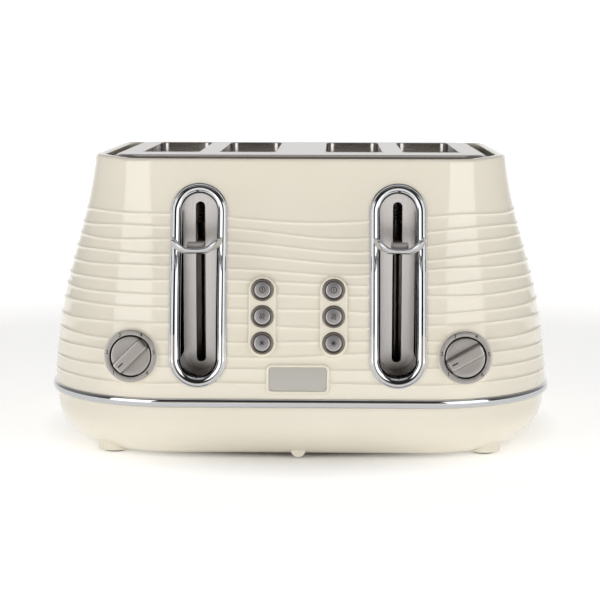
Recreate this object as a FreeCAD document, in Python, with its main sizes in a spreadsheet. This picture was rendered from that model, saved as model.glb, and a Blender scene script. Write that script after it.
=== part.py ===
import FreeCAD, Part
import math
import os
import types

import Sketcher

# Four-slot pop-up toaster. Millimetres, +Z up, the front looks along -Y, +X is to the right
# as seen from the front. The origin is on the table under the middle of the chrome band.

V = FreeCAD.Vector
doc = FreeCAD.newDocument("toaster")
sheet = doc.addObject("Spreadsheet::Sheet", "Sizes")

DIMENSIONS = {
    # chrome band and the body it goes round
    "trim_wide": 325.0, "trim_deep": 284.0, "trim_low": 36.0, "trim_high": 41.8,
    "trim_corner": 84.0, "trim_proud": 2.4, "wall": 2.5,
    # how far the cover leans in: an S-curve in height
    "lean_start": 0.47, "lean_rise": 34.53, "lean_middle": 130.0, "lean_spread": 57.2,
    "corner_shrink": 1.3, "shell_top": 188.8, "rim_wide": 5.5, "rim_thick": 4.8,
    # the under edge of the base: a power curve that ends in the flat bottom
    "base_low": 3.0, "base_turn": 31.0, "base_edge": 3.5, "base_tuck": 21.5, "base_power": 2.37,
    "band_round": 1.6, "vent_x": -50.0, "vent_y": -82.0, "vent_half": 1.5, "vent_long": 11.0,
    "vent_corner": 1.4, "vent_row": 100.0, "rear_start": 100.0, "rear_cut": 60.0,
    # steel deck and its collar
    "deck_wide": 238.8, "deck_front": -86.0, "deck_back": 98.0, "deck_top": 188.6,
    "deck_corner": 20.0, "deck_skirt": 8.6, "deck_roll": 3.0, "sheet_thick": 1.0, "collar_low": 178.0,
    # bread slots
    "slot_wide": 37.4, "slot_long": 132.0, "slot_middle": 15.0, "slot_corner": 6.0,
    "slot_near": 34.75, "slot_far": 85.1, "flange_low": 175.0,
    "collar_wide": 128.5, "collar_deep": 108.0, "collar_corner": 42.0, "collar_wall": 2.0, "collar_lap": 3.0,
    # chassis
    "chassis_wide": 224.0, "chassis_front": -61.0, "chassis_back": 91.0, "chassis_low": 27.5,
    "chassis_top": 172.0, "shelf_front": -118.0, "shelf_thick": 1.5, "rack_gap": 5.0,
    "rack_gap_low": 38.0, "rack_gap_high": 142.0, "tab_half": 7.0, "tab_thick": 1.5,
    # heaters
    "card_thick": 1.2, "card_low": 46.0, "card_tall": 118.0, "card_inner": 9.5,
    "card_middle": 59.95, "card_outer": 110.0, "wire_thick": 0.3, "wire_high": 1.6,
    "wire_first": 10.0, "wire_pitch": 12.0, "wire_long": 138.0,
    # bread guides
    "guide_offset": 20.15, "guide_wire": 1.0, "guide_low": 52.0, "guide_high": 160.0,
    "guide_long": 138.0, "guide_rise": 8.0, "guide_end": 6.0, "guide_thin": 0.9,
    # levers, carriages and racks
    "lever_x": 61.5, "lever_z": 134.5, "arm_wide": 4.4, "arm_high": 3.0, "rod_y": -70.0,
    "rod_radius": 2.5, "rod_clear": 0.05, "bush_radius": 4.5, "bush_low": 124.0,
    "bush_high": 144.0, "bracket_low": 110.0, "bracket_high": 142.0, "bracket_half": 30.0,
    "bracket_thick": 4.0, "rack_z": 112.0, "rack_high": 4.0, "rack_half": 7.0, "spring_coil": 3.6,
    "spring_wire": 0.55, "spring_gap": 0.9, "spring_pitch": 2.5, "spine_half": 1.5, "prong_thick": 2.0,
    "prong_pitch": 15.0, "rack_reach": 60.0, "magnet_x": 14.0, "magnet_half": 8.0, "magnet_deep": 14.0,
    "magnet_tall": 10.5, "armature_thick": 1.5,
    # lever bezels
    "bezel_half": 17.5, "bezel_low": 48.6, "bezel_high": 172.6, "bezel_proud": 1.8,
    "bezel_lap": 2.2, "bezel_bore": 13.0, "bezel_back": 106.5, "flange_back": 100.0, "prism_far": 160.0,
    "prism_near": 90.0, "plate_front": -108.0, "plate_back": 107.0, "lever_slot_half": 2.8,
    "lever_slot_low": 59.5, "lever_slot_high": 160.4,
    # lever knobs
    "knob_half": 15.0, "knob_back": -142.0, "knob_side": 5.0, "knob_front": -159.0,
    "knob_low": 133.6, "knob_deep": 3.6, "knob_wall": 2.4, "knob_horn": 8.0, "knob_floor": 1.4,
    "sleeve_half": 4.65, "sleeve_wall": 1.0, "sleeve_stop": 2.5,
    # dials
    "dial_x": 102.6, "dial_y": -140.5, "dial_z": 68.0, "dial_tilt": 6.3, "dial_outer": 16.2,
    "dial_inner": 12.9, "dial_ring_thick": 2.5, "dial_disc": 12.2, "dial_grip_half": 3.5,
    "dial_grip_out": 6.0, "dial_shaft": 3.0, "timer_radius": 8.5,
    "dial_turn_left": 134.5, "dial_turn_right": 119.0, "boss_deep": 16.0, "disc_back": 4.0,
    "disc_thick": 3.6, "shaft_back": 24.0, "shaft_long": 21.0, "grip_back": 1.0, "grip_corner": 2.0,
    "timer_back": 26.0, "timer_long": 13.0, "timer_bore": 11.5,
    # buttons
    "button_x": 21.9, "button_y": -134.3, "button_z": 92.0, "button_tilt": 11.3,
    "button_pitch": 16.3, "button_radius": 5.1, "button_ring": 7.0, "pad_half": 8.65,
    "pad_tall": 25.0, "pad_proud": 1.8, "button_out": 3.2, "board_back": 19.0,
    "pad_deep": 3.0, "keys_inset": 2.0, "cap_room": 0.5, "cap_bore": 6.0, "ring_thick": 0.8, "ring_gap": 0.2,
    "cap_back": 4.0, "stem_radius": 2.0, "stem_back": 12.0, "stem_long": 9.0, "board_half": 15.5,
    "board_tall": 30.0, "board_thick": 1.6, "board_corner": 1.5, "switch_half": 3.0, "switch_tall": 3.4,
    "switch_corner": 0.4, "post_radius": 2.2, "post_long": 18.0,
    # name plate
    "badge_y": -139.27, "badge_z": 54.0, "badge_tilt": 4.2, "badge_wide": 39.5,
    "badge_tall": 18.7, "badge_edge": 2.0, "badge_proud": 1.6, "badge_deep": 1.5, "badge_corner": 4.0,
    "inlay_corner": 2.0, "inlay_back": 1.0, "inlay_thick": 2.0,
    # feet and under-base pieces
    "foot_x": 118.0, "foot_y": 97.0, "foot_radius": 11.0, "pad_thick": 1.5, "pad_radius": 7.0,
    "lug_radius": 4.6, "lug_y": -121.0, "lug_z": 5.6, "lug_long": 16.0, "foot_tall": 9.0,
    "screw_radius": 3.2, "screw_low": 2.0,
    # crumb trays
    "tray_inner": 14.2, "tray_wide": 83.6, "tray_low": 13.0, "tray_tall": 10.0,
    "tray_front": -52.0, "tray_back": 137.0, "tray_sheet": 0.8, "tray_handle": 156.0,
    "tray_corner": 2.0, "tray_gap": 0.6, "mouth_corner": 1.0, "pull_half": 30.0, "pull_up": 3.0,
    "pull_thick": 3.0, "rail_wide": 2.5, "rail_low": 5.5, "rail_front": -54.0, "rail_long": 170.0,
    "rail_gap": 0.3, "rail_first": 3.0, "rail_second": 78.0,
    # mains entry
    "gland_y": 125.0, "gland_z": 19.0, "gland_bore": 3.6, "gland_radius": 6.0, "gland_flange": 8.5,
    "gland_long": 14.0, "gland_lip": 3.0,
}
for row, (alias, value) in enumerate(DIMENSIONS.items(), start=1):
    sheet.set(f"A{row}", alias)
    sheet.set(f"B{row}", str(value))
    sheet.setAlias(f"B{row}", alias)
doc.recompute()


def number(value):
    """The plain number of a size or a number."""
    return value.number if isinstance(value, Size) else float(value)


def text(value):
    """The sheet expression of a size or a number."""
    return value.text if isinstance(value, Size) else repr(float(value))


class Size:
    """A length that carries its number together with the sheet expression that drives it."""

    def __init__(self, plain, expression):
        self.number = plain
        self.text = expression

    def __add__(self, other):
        return Size(self.number + number(other), f"({self.text} + {text(other)})")

    __radd__ = __add__

    def __sub__(self, other):
        return Size(self.number - number(other), f"({self.text} - {text(other)})")

    def __rsub__(self, other):
        return Size(number(other) - self.number, f"({text(other)} - {self.text})")

    def __mul__(self, other):
        return Size(self.number * number(other), f"({self.text} * {text(other)})")

    __rmul__ = __mul__

    def __truediv__(self, other):
        return Size(self.number / number(other), f"({self.text} / {text(other)})")

    def __neg__(self):
        return Size(-self.number, f"(0 - {self.text})")


S = types.SimpleNamespace(**{name: Size(size, f"Sizes.{name}") for name, size in DIMENSIONS.items()})
kept = {}


def keep(made, label):
    """Names a finished sub-part, which is then written to a file of that name."""
    made.Label = label
    kept[label] = made
    return made


def bind(made, path, value):
    """Drives one property of an object from the sheet."""
    made.setExpression(path, text(value))


def place(made, point, tilt=None):
    """Puts an object at a point; with a tilt its own Z axis looks forward and that far up."""
    turn = FreeCAD.Rotation()
    if tilt is not None:
        turn = FreeCAD.Rotation(V(1, 0, 0), 90 - number(tilt))
    made.Placement = FreeCAD.Placement(V(*[number(value) for value in point]), turn)
    for axis, value in zip("xyz", point):
        bind(made, f"Placement.Base.{axis}", value)
    return made


# ---------- Part primitives ----------

def block(name, low, size):
    """A box given by its lowest corner and its three sizes."""
    made = doc.addObject("Part::Box", name)
    for prop, value in zip(("Length", "Width", "Height"), size):
        bind(made, prop, value)
    return place(made, low)


def between(name, low, high):
    """A box given by its lowest and highest corners."""
    return block(name, low, [top - bottom for bottom, top in zip(low, high)])


def rod(name, start, radius, length, along="z"):
    """A round bar from a start point along one axis."""
    made = doc.addObject("Part::Cylinder", name)
    bind(made, "Radius", radius)
    bind(made, "Height", length)
    place(made, start)
    turns = {"x": (V(0, 1, 0), 90), "y": (V(1, 0, 0), -90), "z": (V(0, 0, 1), 0)}
    made.Placement = FreeCAD.Placement(made.Placement.Base, FreeCAD.Rotation(*turns[along]))
    return made


def fuse(name, shapes):
    """One solid from several that overlap or touch."""
    made = doc.addObject("Part::MultiFuse", name)
    made.Shapes = shapes
    made.Refine = True
    return made


def weld(name, shapes):
    """Curved solids joined one after another. Part::Fuse drops some of these pieces, so the
    join is made with the shapes' own fuse and kept as a plain feature."""
    doc.recompute()
    solid = shapes[0].Shape
    for item in shapes[1:]:
        solid = solid.fuse(item.Shape)
    made = doc.addObject("Part::Feature", name)
    made.Shape = solid
    return made


def cut(name, base, tool):
    """A base solid with a tool solid taken away."""
    made = doc.addObject("Part::Cut", name)
    made.Base = base
    made.Tool = tool
    return made


def common(name, one, other):
    """What two solids share."""
    made = doc.addObject("Part::Common", name)
    made.Base = one
    made.Tool = other
    return made


def group(name, shapes):
    """Separate solids that make one node."""
    made = doc.addObject("Part::Compound", name)
    made.Links = shapes
    return made


# ---------- PartDesign bodies ----------

def new_body(name):
    return doc.addObject("PartDesign::Body", name)


def sketch(owner, name, role="XY_Plane", shift=(0, 0, 0)):
    """A sketch on one of its body's own planes, shifted in that plane and off it."""
    flat = owner.newObject("Sketcher::SketchObject", name)
    plane = next(item for item in owner.Origin.OriginFeatures if item.Role == role)
    flat.AttachmentSupport = [(plane, "")]
    flat.MapMode = "FlatFace"
    flat.AttachmentOffset = FreeCAD.Placement(V(*[number(value) for value in shift]), FreeCAD.Rotation())
    for axis, value in zip("xyz", shift):
        bind(flat, f"AttachmentOffset.Base.{axis}", value)
    return flat


def dimension(flat, name, kind, places, value):
    """A named sketch constraint driven from the sheet."""
    index = flat.addConstraint(Sketcher.Constraint(kind, *places, number(value)))
    flat.renameConstraint(index, name)
    flat.setExpression(f"Constraints.{name}", text(value))


def rounded_rectangle(flat, half_wide, half_deep, corner):
    """Four tangent arcs and lines, centred on the sketch's origin."""
    radius = number(corner)
    inner_x, inner_y = number(half_wide) - radius, number(half_deep) - radius
    centres = [(inner_x, inner_y), (-inner_x, inner_y), (-inner_x, -inner_y), (inner_x, -inner_y)]
    shapes = []
    for turn, (x, y) in enumerate(centres):
        start = turn * math.pi / 2
        stop = start + math.pi / 2
        across = V(radius * math.cos(stop), radius * math.sin(stop), 0)
        after = centres[(turn + 1) % 4]
        shapes.append(Part.ArcOfCircle(Part.Circle(V(x, y, 0), V(0, 0, 1), radius), start, stop))
        shapes.append(Part.LineSegment(V(x, y, 0) + across, V(after[0], after[1], 0) + across))
    flat.addGeometry(shapes, False)
    for item in range(8):
        flat.addConstraint(Sketcher.Constraint("Tangent", item, 2, (item + 1) % 8, 1))
    for line, kind in ((1, "Horizontal"), (3, "Vertical"), (5, "Horizontal"), (7, "Vertical")):
        flat.addConstraint(Sketcher.Constraint(kind, line))
    for arc in (2, 4, 6):
        flat.addConstraint(Sketcher.Constraint("Equal", 0, arc))
    dimension(flat, "corner", "Radius", (0,), corner)
    dimension(flat, "right", "DistanceX", (-1, 1, 0, 1), half_wide)
    dimension(flat, "left", "DistanceX", (2, 2, -1, 1), half_wide)
    dimension(flat, "back", "DistanceY", (-1, 1, 0, 2), half_deep)
    dimension(flat, "front", "DistanceY", (4, 2, -1, 1), half_deep)
    return flat


def racetrack(flat, half_wide, half_long):
    """An upright slot shape: two half circles joined by two lines."""
    radius = number(half_wide)
    reach = number(half_long) - radius
    up = Part.Circle(V(0, reach, 0), V(0, 0, 1), radius)
    down = Part.Circle(V(0, -reach, 0), V(0, 0, 1), radius)
    flat.addGeometry([
        Part.ArcOfCircle(up, 0, math.pi),
        Part.LineSegment(V(-radius, reach, 0), V(-radius, -reach, 0)),
        Part.ArcOfCircle(down, math.pi, 2 * math.pi),
        Part.LineSegment(V(radius, -reach, 0), V(radius, reach, 0)),
    ], False)
    for item in range(4):
        flat.addConstraint(Sketcher.Constraint("Tangent", item, 2, (item + 1) % 4, 1))
    flat.addConstraint(Sketcher.Constraint("Vertical", 1))
    flat.addConstraint(Sketcher.Constraint("PointOnObject", 0, 3, -2))
    dimension(flat, "radius", "Radius", (0,), half_wide)
    dimension(flat, "above", "DistanceY", (-1, 1, 0, 3), half_long - half_wide)
    dimension(flat, "below", "DistanceY", (2, 3, -1, 1), half_long - half_wide)
    return flat


def circle(flat, radius):
    """A circle about the sketch's origin."""
    flat.addGeometry(Part.Circle(V(0, 0, 0), V(0, 0, 1), number(radius)), False)
    flat.addConstraint(Sketcher.Constraint("Coincident", 0, 3, -1, 1))
    dimension(flat, "radius", "Radius", (0,), radius)
    return flat


def pad(owner, flat, length):
    made = owner.newObject("PartDesign::Pad", f"{flat.Name}_pad")
    made.Profile = flat
    bind(made, "Length", length)
    return made


def pocket(owner, flat, length):
    """Cuts against the sketch's normal."""
    made = owner.newObject("PartDesign::Pocket", f"{flat.Name}_pocket")
    made.Profile = flat
    bind(made, "Length", length)
    return made


def loft(owner, kind, flats):
    made = owner.newObject(f"PartDesign::{kind}", f"{owner.Name}_{kind}")
    made.Profile = flats[0]
    made.Sections = flats[1:]
    return made


def round_edges(owner, base, heights, radius):
    """Rounds the edges of a body that lie flat at the given heights."""
    doc.recompute()
    levels = [number(height) for height in heights]
    names = []
    for index, edge in enumerate(base.Shape.Edges, start=1):
        box = edge.BoundBox
        if any(abs(box.ZMin - level) < 1e-3 and abs(box.ZMax - level) < 1e-3 for level in levels):
            names.append(f"Edge{index}")
    made = owner.newObject("PartDesign::Fillet", f"{owner.Name}_round")
    made.Base = (base, names)
    bind(made, "Radius", radius)
    return made


# ---------- the outer forms ----------

SECTIONS = 7
CUT_START = 150.0
CUT_DEPTH = 60.0
VENTS, RIBBONS, UPRIGHTS, PRONGS = 11, 9, 8, 9
SCREW_SHARES = (0.8, 0.85)
TERMINAL_LOW, TERMINAL_SIZE = (-12.0, 102.0, 5.5), (24.0, 16.0, 12.0)
POST_ACROSS, POST_UP = (-12.0, 12.0), (-27.0, 27.0)


def lean(height):
    """How far the cover has leaned in at a height: an S-curve, a scaled tanh."""
    along = (height - S.lean_middle) / S.lean_spread
    curve = Size(math.tanh(along.number), f"tanh({along.text})")
    return S.lean_start + S.lean_rise * (1 + curve) / 2


def shell_section(owner, height, grow):
    """The cover's outline at a height, grown outwards by a distance."""
    inset = lean(height)
    flat = sketch(owner, f"{owner.Name}_at", shift=(0, 0, height))
    return rounded_rectangle(flat, S.trim_wide / 2 - inset + grow, S.trim_deep / 2 - inset + grow,
                             S.trim_corner - S.corner_shrink * inset + grow)


def shell_form(owner, kind, low, high, grow):
    """The cover's outside as a loft through evenly spaced sections."""
    steps = [low + (high - low) * step / SECTIONS for step in range(SECTIONS + 1)]
    return loft(owner, kind, [shell_section(owner, height, grow) for height in steps])


def grown_form(name, grow):
    """A solid block with the cover's outer form, used to trim pieces that sit on it."""
    owner = new_body(name)
    shell_form(owner, "AdditiveLoft", S.trim_high, S.shell_top, grow)
    return owner


def base_section(owner, share, grow):
    """The base's outline where the under edge has gone a share of its way down."""
    height = S.base_turn - (S.base_turn - S.base_low) * share
    inset = S.base_edge + S.base_tuck * share ** DIMENSIONS["base_power"]
    flat = sketch(owner, f"{owner.Name}_at", shift=(0, 0, height))
    return rounded_rectangle(flat, S.trim_wide / 2 - inset + grow, S.trim_deep / 2 - inset + grow,
                             S.trim_corner - inset + grow)


def base_form(owner, kind, lowest_share, grow):
    """The base's outside: the power curve of its under edge, then a short upright rim."""
    shares = [lowest_share * step / SECTIONS for step in range(SECTIONS, -1, -1)]
    flats = [base_section(owner, share, grow) for share in shares]
    top = sketch(owner, f"{owner.Name}_top", shift=(0, 0, S.trim_low))
    half_wide = S.trim_wide / 2 - S.base_edge + grow
    half_deep = S.trim_deep / 2 - S.base_edge + grow
    flats.append(rounded_rectangle(top, half_wide, half_deep, S.trim_corner - S.base_edge + grow))
    return loft(owner, kind, flats)


SIDES = (("left", -1), ("right", 1))
on_cover = grown_form("cover_outside", 0.0)
in_cover = grown_form("cover_inside", -S.wall)
in_wall = grown_form("cover_middle", -S.wall / 2)
over_bezel = grown_form("bezel_outside", S.bezel_proud)


# ---------- cover ----------

def make_cover():
    """The cream cover: a hollow loft with a rim, its windows, pads, bosses and badge frame."""
    owner = new_body("cover")
    shell_form(owner, "AdditiveLoft", S.trim_high, S.shell_top, 0.0)
    shell_form(owner, "SubtractiveLoft", S.trim_high, S.shell_top - S.rim_thick, -S.wall)
    inset = lean(S.shell_top) + S.rim_wide
    mouth = sketch(owner, "cover_mouth", shift=(0, 0, S.shell_top))
    rounded_rectangle(mouth, S.trim_wide / 2 - inset, S.trim_deep / 2 - inset,
                      S.trim_corner - S.corner_shrink * lean(S.shell_top) - S.rim_wide)
    pocket(owner, mouth, S.rim_thick)
    for name, side in SIDES:
        middle = (S.bezel_low + S.bezel_high) / 2
        window = sketch(owner, f"window_{name}", "XZ_Plane", (side * S.lever_x, middle, CUT_START))
        half_tall = (S.bezel_high - S.bezel_low) / 2
        pocket(owner, racetrack(window, S.bezel_half - S.bezel_lap, half_tall - S.bezel_lap), CUT_DEPTH)
        keys = sketch(owner, f"keys_{name}", "XZ_Plane", (side * S.button_x, S.button_z, CUT_START))
        pocket(owner, racetrack(keys, S.pad_half - S.keys_inset, S.pad_tall - S.keys_inset), CUT_DEPTH)
        dial = sketch(owner, f"dial_{name}", "XZ_Plane", (side * S.dial_x, S.dial_z, CUT_START))
        pocket(owner, circle(dial, S.dial_inner), CUT_DEPTH)
    doc.recompute()
    moulded = [owner]
    for name, side in SIDES:
        boss = new_body(f"boss_{name}")
        pad(boss, circle(sketch(boss, "boss_outline", shift=(0, 0, -S.boss_deep)), S.dial_outer),
            S.boss_deep - S.dial_ring_thick)
        pocket(boss, circle(sketch(boss, "boss_bore"), S.dial_inner), S.boss_deep)
        place(boss, (side * S.dial_x, S.dial_y, S.dial_z), S.dial_tilt)
        moulded.append(cut(f"boss_{name}_on_cover", boss, in_wall))
        raised = new_body(f"pad_{name}")
        outline = racetrack(sketch(raised, "pad_outline", shift=(0, 0, -S.pad_deep)), S.pad_half, S.pad_tall)
        pad(raised, outline, S.pad_deep + S.pad_proud)
        for step in (-1, 0, 1):
            bore = sketch(raised, "pad_bore", shift=(0, step * S.button_pitch, S.pad_proud))
            pocket(raised, circle(bore, S.button_radius + S.cap_room), S.cap_bore)
        place(raised, (side * S.button_x, S.button_y, S.button_z), S.button_tilt)
        moulded.append(cut(f"pad_{name}_on_cover", raised, in_wall))
    frame = new_body("badge_surround")
    outline = sketch(frame, "surround_outline", shift=(0, 0, -S.badge_deep))
    rounded_rectangle(outline, S.badge_wide / 2, S.badge_tall / 2, S.badge_corner)
    pad(frame, outline, S.badge_deep + S.badge_proud)
    inner = sketch(frame, "surround_inner", shift=(0, 0, S.badge_proud))
    rounded_rectangle(inner, S.badge_wide / 2 - S.badge_edge, S.badge_tall / 2 - S.badge_edge, S.inlay_corner)
    pocket(frame, inner, S.badge_deep + S.badge_proud)
    place(frame, (0, S.badge_y, S.badge_z), S.badge_tilt)
    moulded.append(cut("badge_surround_on_cover", frame, in_wall))
    keep(weld("body_shell", moulded), "body_shell")
    plate = new_body("badge_inlay")
    face = sketch(plate, "inlay_outline", shift=(0, 0, -S.inlay_back))
    rounded_rectangle(face, S.badge_wide / 2 - S.badge_edge, S.badge_tall / 2 - S.badge_edge, S.inlay_corner)
    pad(plate, face, S.inlay_thick)
    place(plate, (0, S.badge_y, S.badge_z), S.badge_tilt)
    keep(cut("badge_plate", plate, on_cover), "badge_plate")


# ---------- base, band and feet ----------

def make_base():
    """The cream base with its tray mouths, cord hole and vents, and the chrome band on it."""
    owner = new_body("base_moulding")
    base_form(owner, "AdditiveLoft", 1.0, 0.0)
    floor_share = 1.0 - DIMENSIONS["wall"] / (DIMENSIONS["base_turn"] - DIMENSIONS["base_low"])
    base_form(owner, "SubtractiveLoft", floor_share, -S.wall)
    for name, side in SIDES:
        mouth = sketch(owner, f"tray_mouth_{name}", "XZ_Plane",
                       (side * (S.tray_inner + S.tray_wide / 2), S.tray_low + S.tray_tall / 2, -S.rear_start))
        rounded_rectangle(mouth, S.tray_wide / 2 + S.tray_gap, S.tray_tall / 2 + S.tray_gap, S.mouth_corner)
        pocket(owner, mouth, S.rear_cut)
    gland = sketch(owner, "gland_hole", "XZ_Plane", (0, S.gland_z, -S.rear_start))
    pocket(owner, circle(gland, S.gland_radius), S.rear_cut)
    vent = sketch(owner, "vent", shift=(S.vent_x, S.vent_y, S.base_low + 2 * S.wall))
    rounded_rectangle(vent, S.vent_half, S.vent_long, S.vent_corner)
    slot = pocket(owner, vent, 3 * S.wall)
    doc.recompute()
    row = owner.newObject("PartDesign::LinearPattern", "vent_row")
    row.Originals = [slot]
    row.Direction = (vent, ["H_Axis"])
    bind(row, "Length", S.vent_row)
    row.Occurrences = VENTS
    owner.Tip = row
    keep(owner, "base_moulding")

    band = new_body("trim_band")
    ring = sketch(band, "band_outline", shift=(0, 0, S.trim_low))
    rounded_rectangle(ring, S.trim_wide / 2, S.trim_deep / 2, S.trim_corner)
    solid = pad(band, ring, S.trim_high - S.trim_low)
    round_edges(band, solid, (S.trim_low, S.trim_high), S.band_round)
    hollow = sketch(band, "band_inner", shift=(0, 0, S.trim_high))
    inner = S.wall + S.base_edge
    rounded_rectangle(hollow, S.trim_wide / 2 - inner, S.trim_deep / 2 - inner, S.trim_corner - inner)
    pocket(band, hollow, S.trim_high - S.trim_low)
    keep(band, "trim_band")

    outside = new_body("base_outside")
    base_form(outside, "AdditiveLoft", 1.0, 0.0)
    stubs, pads, heads = [], [], []
    for x_side in (-1, 1):
        for y_side in (-1, 1):
            spot = (x_side * S.foot_x, y_side * S.foot_y, S.pad_thick)
            stubs.append(cut("foot", rod("foot_stub", spot, S.foot_radius, S.foot_tall), outside))
            pads.append(rod("foot_pad", (spot[0], spot[1], 0), S.pad_radius, S.pad_thick))
            screw = rod("screw_head", (spot[0] * SCREW_SHARES[0], spot[1] * SCREW_SHARES[1], S.screw_low),
                        S.screw_radius, S.base_low - S.screw_low)
            heads.append(screw)
    lug = rod("front_lug", (0, S.lug_y, S.lug_z), S.lug_radius, S.lug_long, "y")
    stubs.append(cut("lug", lug, outside))
    keep(group("feet", stubs), "feet")
    keep(group("foot_pads", pads), "foot_pads")
    keep(group("base_screws", heads), "base_screws")

    barrel = new_body("gland_barrel")
    pad(barrel, circle(sketch(barrel, "barrel_outline"), S.gland_radius), S.gland_long)
    flange = new_body("gland_flange")
    start = S.gland_long - S.gland_lip
    pad(flange, circle(sketch(flange, "flange_outline", shift=(0, 0, start)), S.gland_flange), S.gland_lip)
    for body in (barrel, flange):
        place(body, (0, S.gland_y, S.gland_z))
        body.Placement = FreeCAD.Placement(body.Placement.Base, FreeCAD.Rotation(V(1, 0, 0), -90))
    lip = cut("gland_lip", flange, outside)
    bore = rod("gland_bore", (0, S.gland_y - 1.0, S.gland_z), S.gland_bore, S.gland_long + 2.0, "y")
    keep(cut("cord_gland", fuse("gland_solid", [barrel, lip]), bore), "cord_gland")
    keep(block("terminal_block", TERMINAL_LOW, TERMINAL_SIZE), "terminal_block")
    rails = []
    for name, side in SIDES:
        for inset in (S.rail_first, S.rail_second):
            start = side * (S.tray_inner + inset)
            rails.append(block("rail", (start - S.rail_wide / 2, S.rail_front, S.rail_low),
                               (S.rail_wide, S.rail_long, S.tray_low - S.rail_low - S.rail_gap)))
    keep(group("tray_rails", rails), "tray_rails")


# ---------- deck and collar ----------

def make_deck():
    """The steel deck: a rolled-edge pan turned over, with four flanged slots."""
    owner = new_body("top_plate")
    middle = (S.deck_front + S.deck_back) / 2
    half_deep = (S.deck_back - S.deck_front) / 2
    low = S.deck_top - S.deck_skirt
    outline = sketch(owner, "deck_outline", shift=(0, middle, low))
    solid = pad(owner, rounded_rectangle(outline, S.deck_wide / 2, half_deep, S.deck_corner), S.deck_skirt)
    round_edges(owner, solid, (S.deck_top,), S.deck_roll)
    under = sketch(owner, "deck_under", shift=(0, middle, S.deck_top - S.sheet_thick))
    inset = S.sheet_thick * 2
    rounded_rectangle(under, S.deck_wide / 2 - inset, half_deep - inset, S.deck_corner - inset)
    pocket(owner, under, S.deck_skirt)
    for side in (-1, 1):
        for across in (S.slot_near, S.slot_far):
            centre = (side * across, S.slot_middle)
            flange = sketch(owner, "slot_flange", shift=(*centre, S.flange_low))
            rounded_rectangle(flange, S.slot_wide / 2 + S.sheet_thick,
                              S.slot_long / 2 + S.sheet_thick, S.slot_corner + S.sheet_thick)
            pad(owner, flange, S.deck_top - S.flange_low - S.sheet_thick / 2)
            slot = sketch(owner, "slot", shift=(*centre, S.deck_top))
            rounded_rectangle(slot, S.slot_wide / 2, S.slot_long / 2, S.slot_corner)
            pocket(owner, slot, S.deck_top - S.flange_low)
    keep(owner, "top_plate")

    collar = new_body("top_collar")
    outer = sketch(collar, "collar_outline", shift=(0, 0, S.collar_low))
    rounded_rectangle(outer, S.collar_wide, S.collar_deep, S.collar_corner)
    pad(collar, outer, S.shell_top - S.rim_thick - S.collar_low)
    trough = sketch(collar, "collar_trough", shift=(0, 0, S.shell_top - S.rim_thick))
    rounded_rectangle(trough, S.collar_wide - S.collar_wall, S.collar_deep - S.collar_wall,
                      S.collar_corner - S.collar_wall)
    pocket(collar, trough, S.shell_top - S.rim_thick - S.collar_low - S.collar_wall)
    mouth = sketch(collar, "collar_mouth", shift=(0, middle, S.shell_top))
    rounded_rectangle(mouth, S.deck_wide / 2 - S.collar_lap, half_deep - S.collar_lap,
                      S.deck_corner - S.collar_lap)
    pocket(collar, mouth, S.shell_top - S.collar_low)
    keep(collar, "top_collar")


# ---------- chassis and heaters ----------

def make_chassis():
    """Bulkheads with the rack gaps, side shields, the front shelf, heater cards and ribbons."""
    tall = S.chassis_top - S.chassis_low
    for name, front in (("front", S.chassis_front), ("rear", S.chassis_back - S.sheet_thick)):
        sheet_part = block(f"bulkhead_{name}_sheet", (-S.chassis_wide / 2, front, S.chassis_low),
                           (S.chassis_wide, S.sheet_thick, tall))
        gaps = []
        for side in (-1, 1):
            for across in (S.slot_near, S.slot_far):
                start = side * across - S.rack_gap / 2
                gaps.append(between("rack_gap", (start, front - 1.0, S.rack_gap_low),
                                    (start + S.rack_gap, front + 2.0, S.rack_gap_high)))
        plate = cut(f"bulkhead_{name}_gaps", sheet_part, fuse(f"gaps_{name}", gaps))
        if name == "rear":
            keep(plate, "bulkhead_rear")
            continue
        tabs = [plate]
        for side in (-1, 1):
            tab = block("rod_tab", (side * S.lever_x - S.tab_half, S.rod_y - S.tab_half, S.chassis_top - S.tab_thick),
                        (2 * S.tab_half, S.chassis_front - S.rod_y + S.tab_half, S.tab_thick))
            hole = rod("rod_hole", (side * S.lever_x, S.rod_y, S.chassis_top - 2 * S.tab_thick),
                       S.rod_radius, 3 * S.tab_thick)
            tabs.append(cut("rod_tab_bored", tab, hole))
        keep(fuse("bulkhead_front", tabs), "bulkhead_front")
    deep = S.chassis_back - S.chassis_front
    shields = []
    for start in (-S.chassis_wide / 2 - S.sheet_thick, S.chassis_wide / 2):
        shields.append(block("shield", (start, S.chassis_front, S.chassis_low), (S.sheet_thick, deep, tall)))
    keep(group("side_shields", shields), "side_shields")
    keep(between("front_shelf", (-S.chassis_wide / 2, S.shelf_front, S.chassis_low - S.shelf_thick),
                 (S.chassis_wide / 2, S.chassis_front + S.sheet_thick, S.chassis_low)), "front_shelf")
    for name, side in SIDES:
        cards, wires = [], []
        for across, faces in ((S.card_inner, (1,)), (S.card_middle, (-1, 1)), (S.card_outer, (-1,))):
            low = side * across - S.card_thick / 2
            cards.append(block("card", (low, S.chassis_front + S.sheet_thick, S.card_low),
                               (S.card_thick, deep - 2 * S.sheet_thick, S.card_tall)))
            for face in faces:
                skin = side * (across + face * S.card_thick / 2)
                start = skin if side * face > 0 else skin - S.wire_thick
                for step in range(RIBBONS):
                    height = S.card_low + S.wire_first + step * S.wire_pitch
                    wires.append(block("wire", (start, S.slot_middle - S.wire_long / 2, height),
                                       (S.wire_thick, S.wire_long, S.wire_high)))
        keep(group(f"heater_cards_{name}", cards), f"heater_cards_{name}")
        keep(group(f"heater_wires_{name}", wires), f"heater_wires_{name}")


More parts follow.
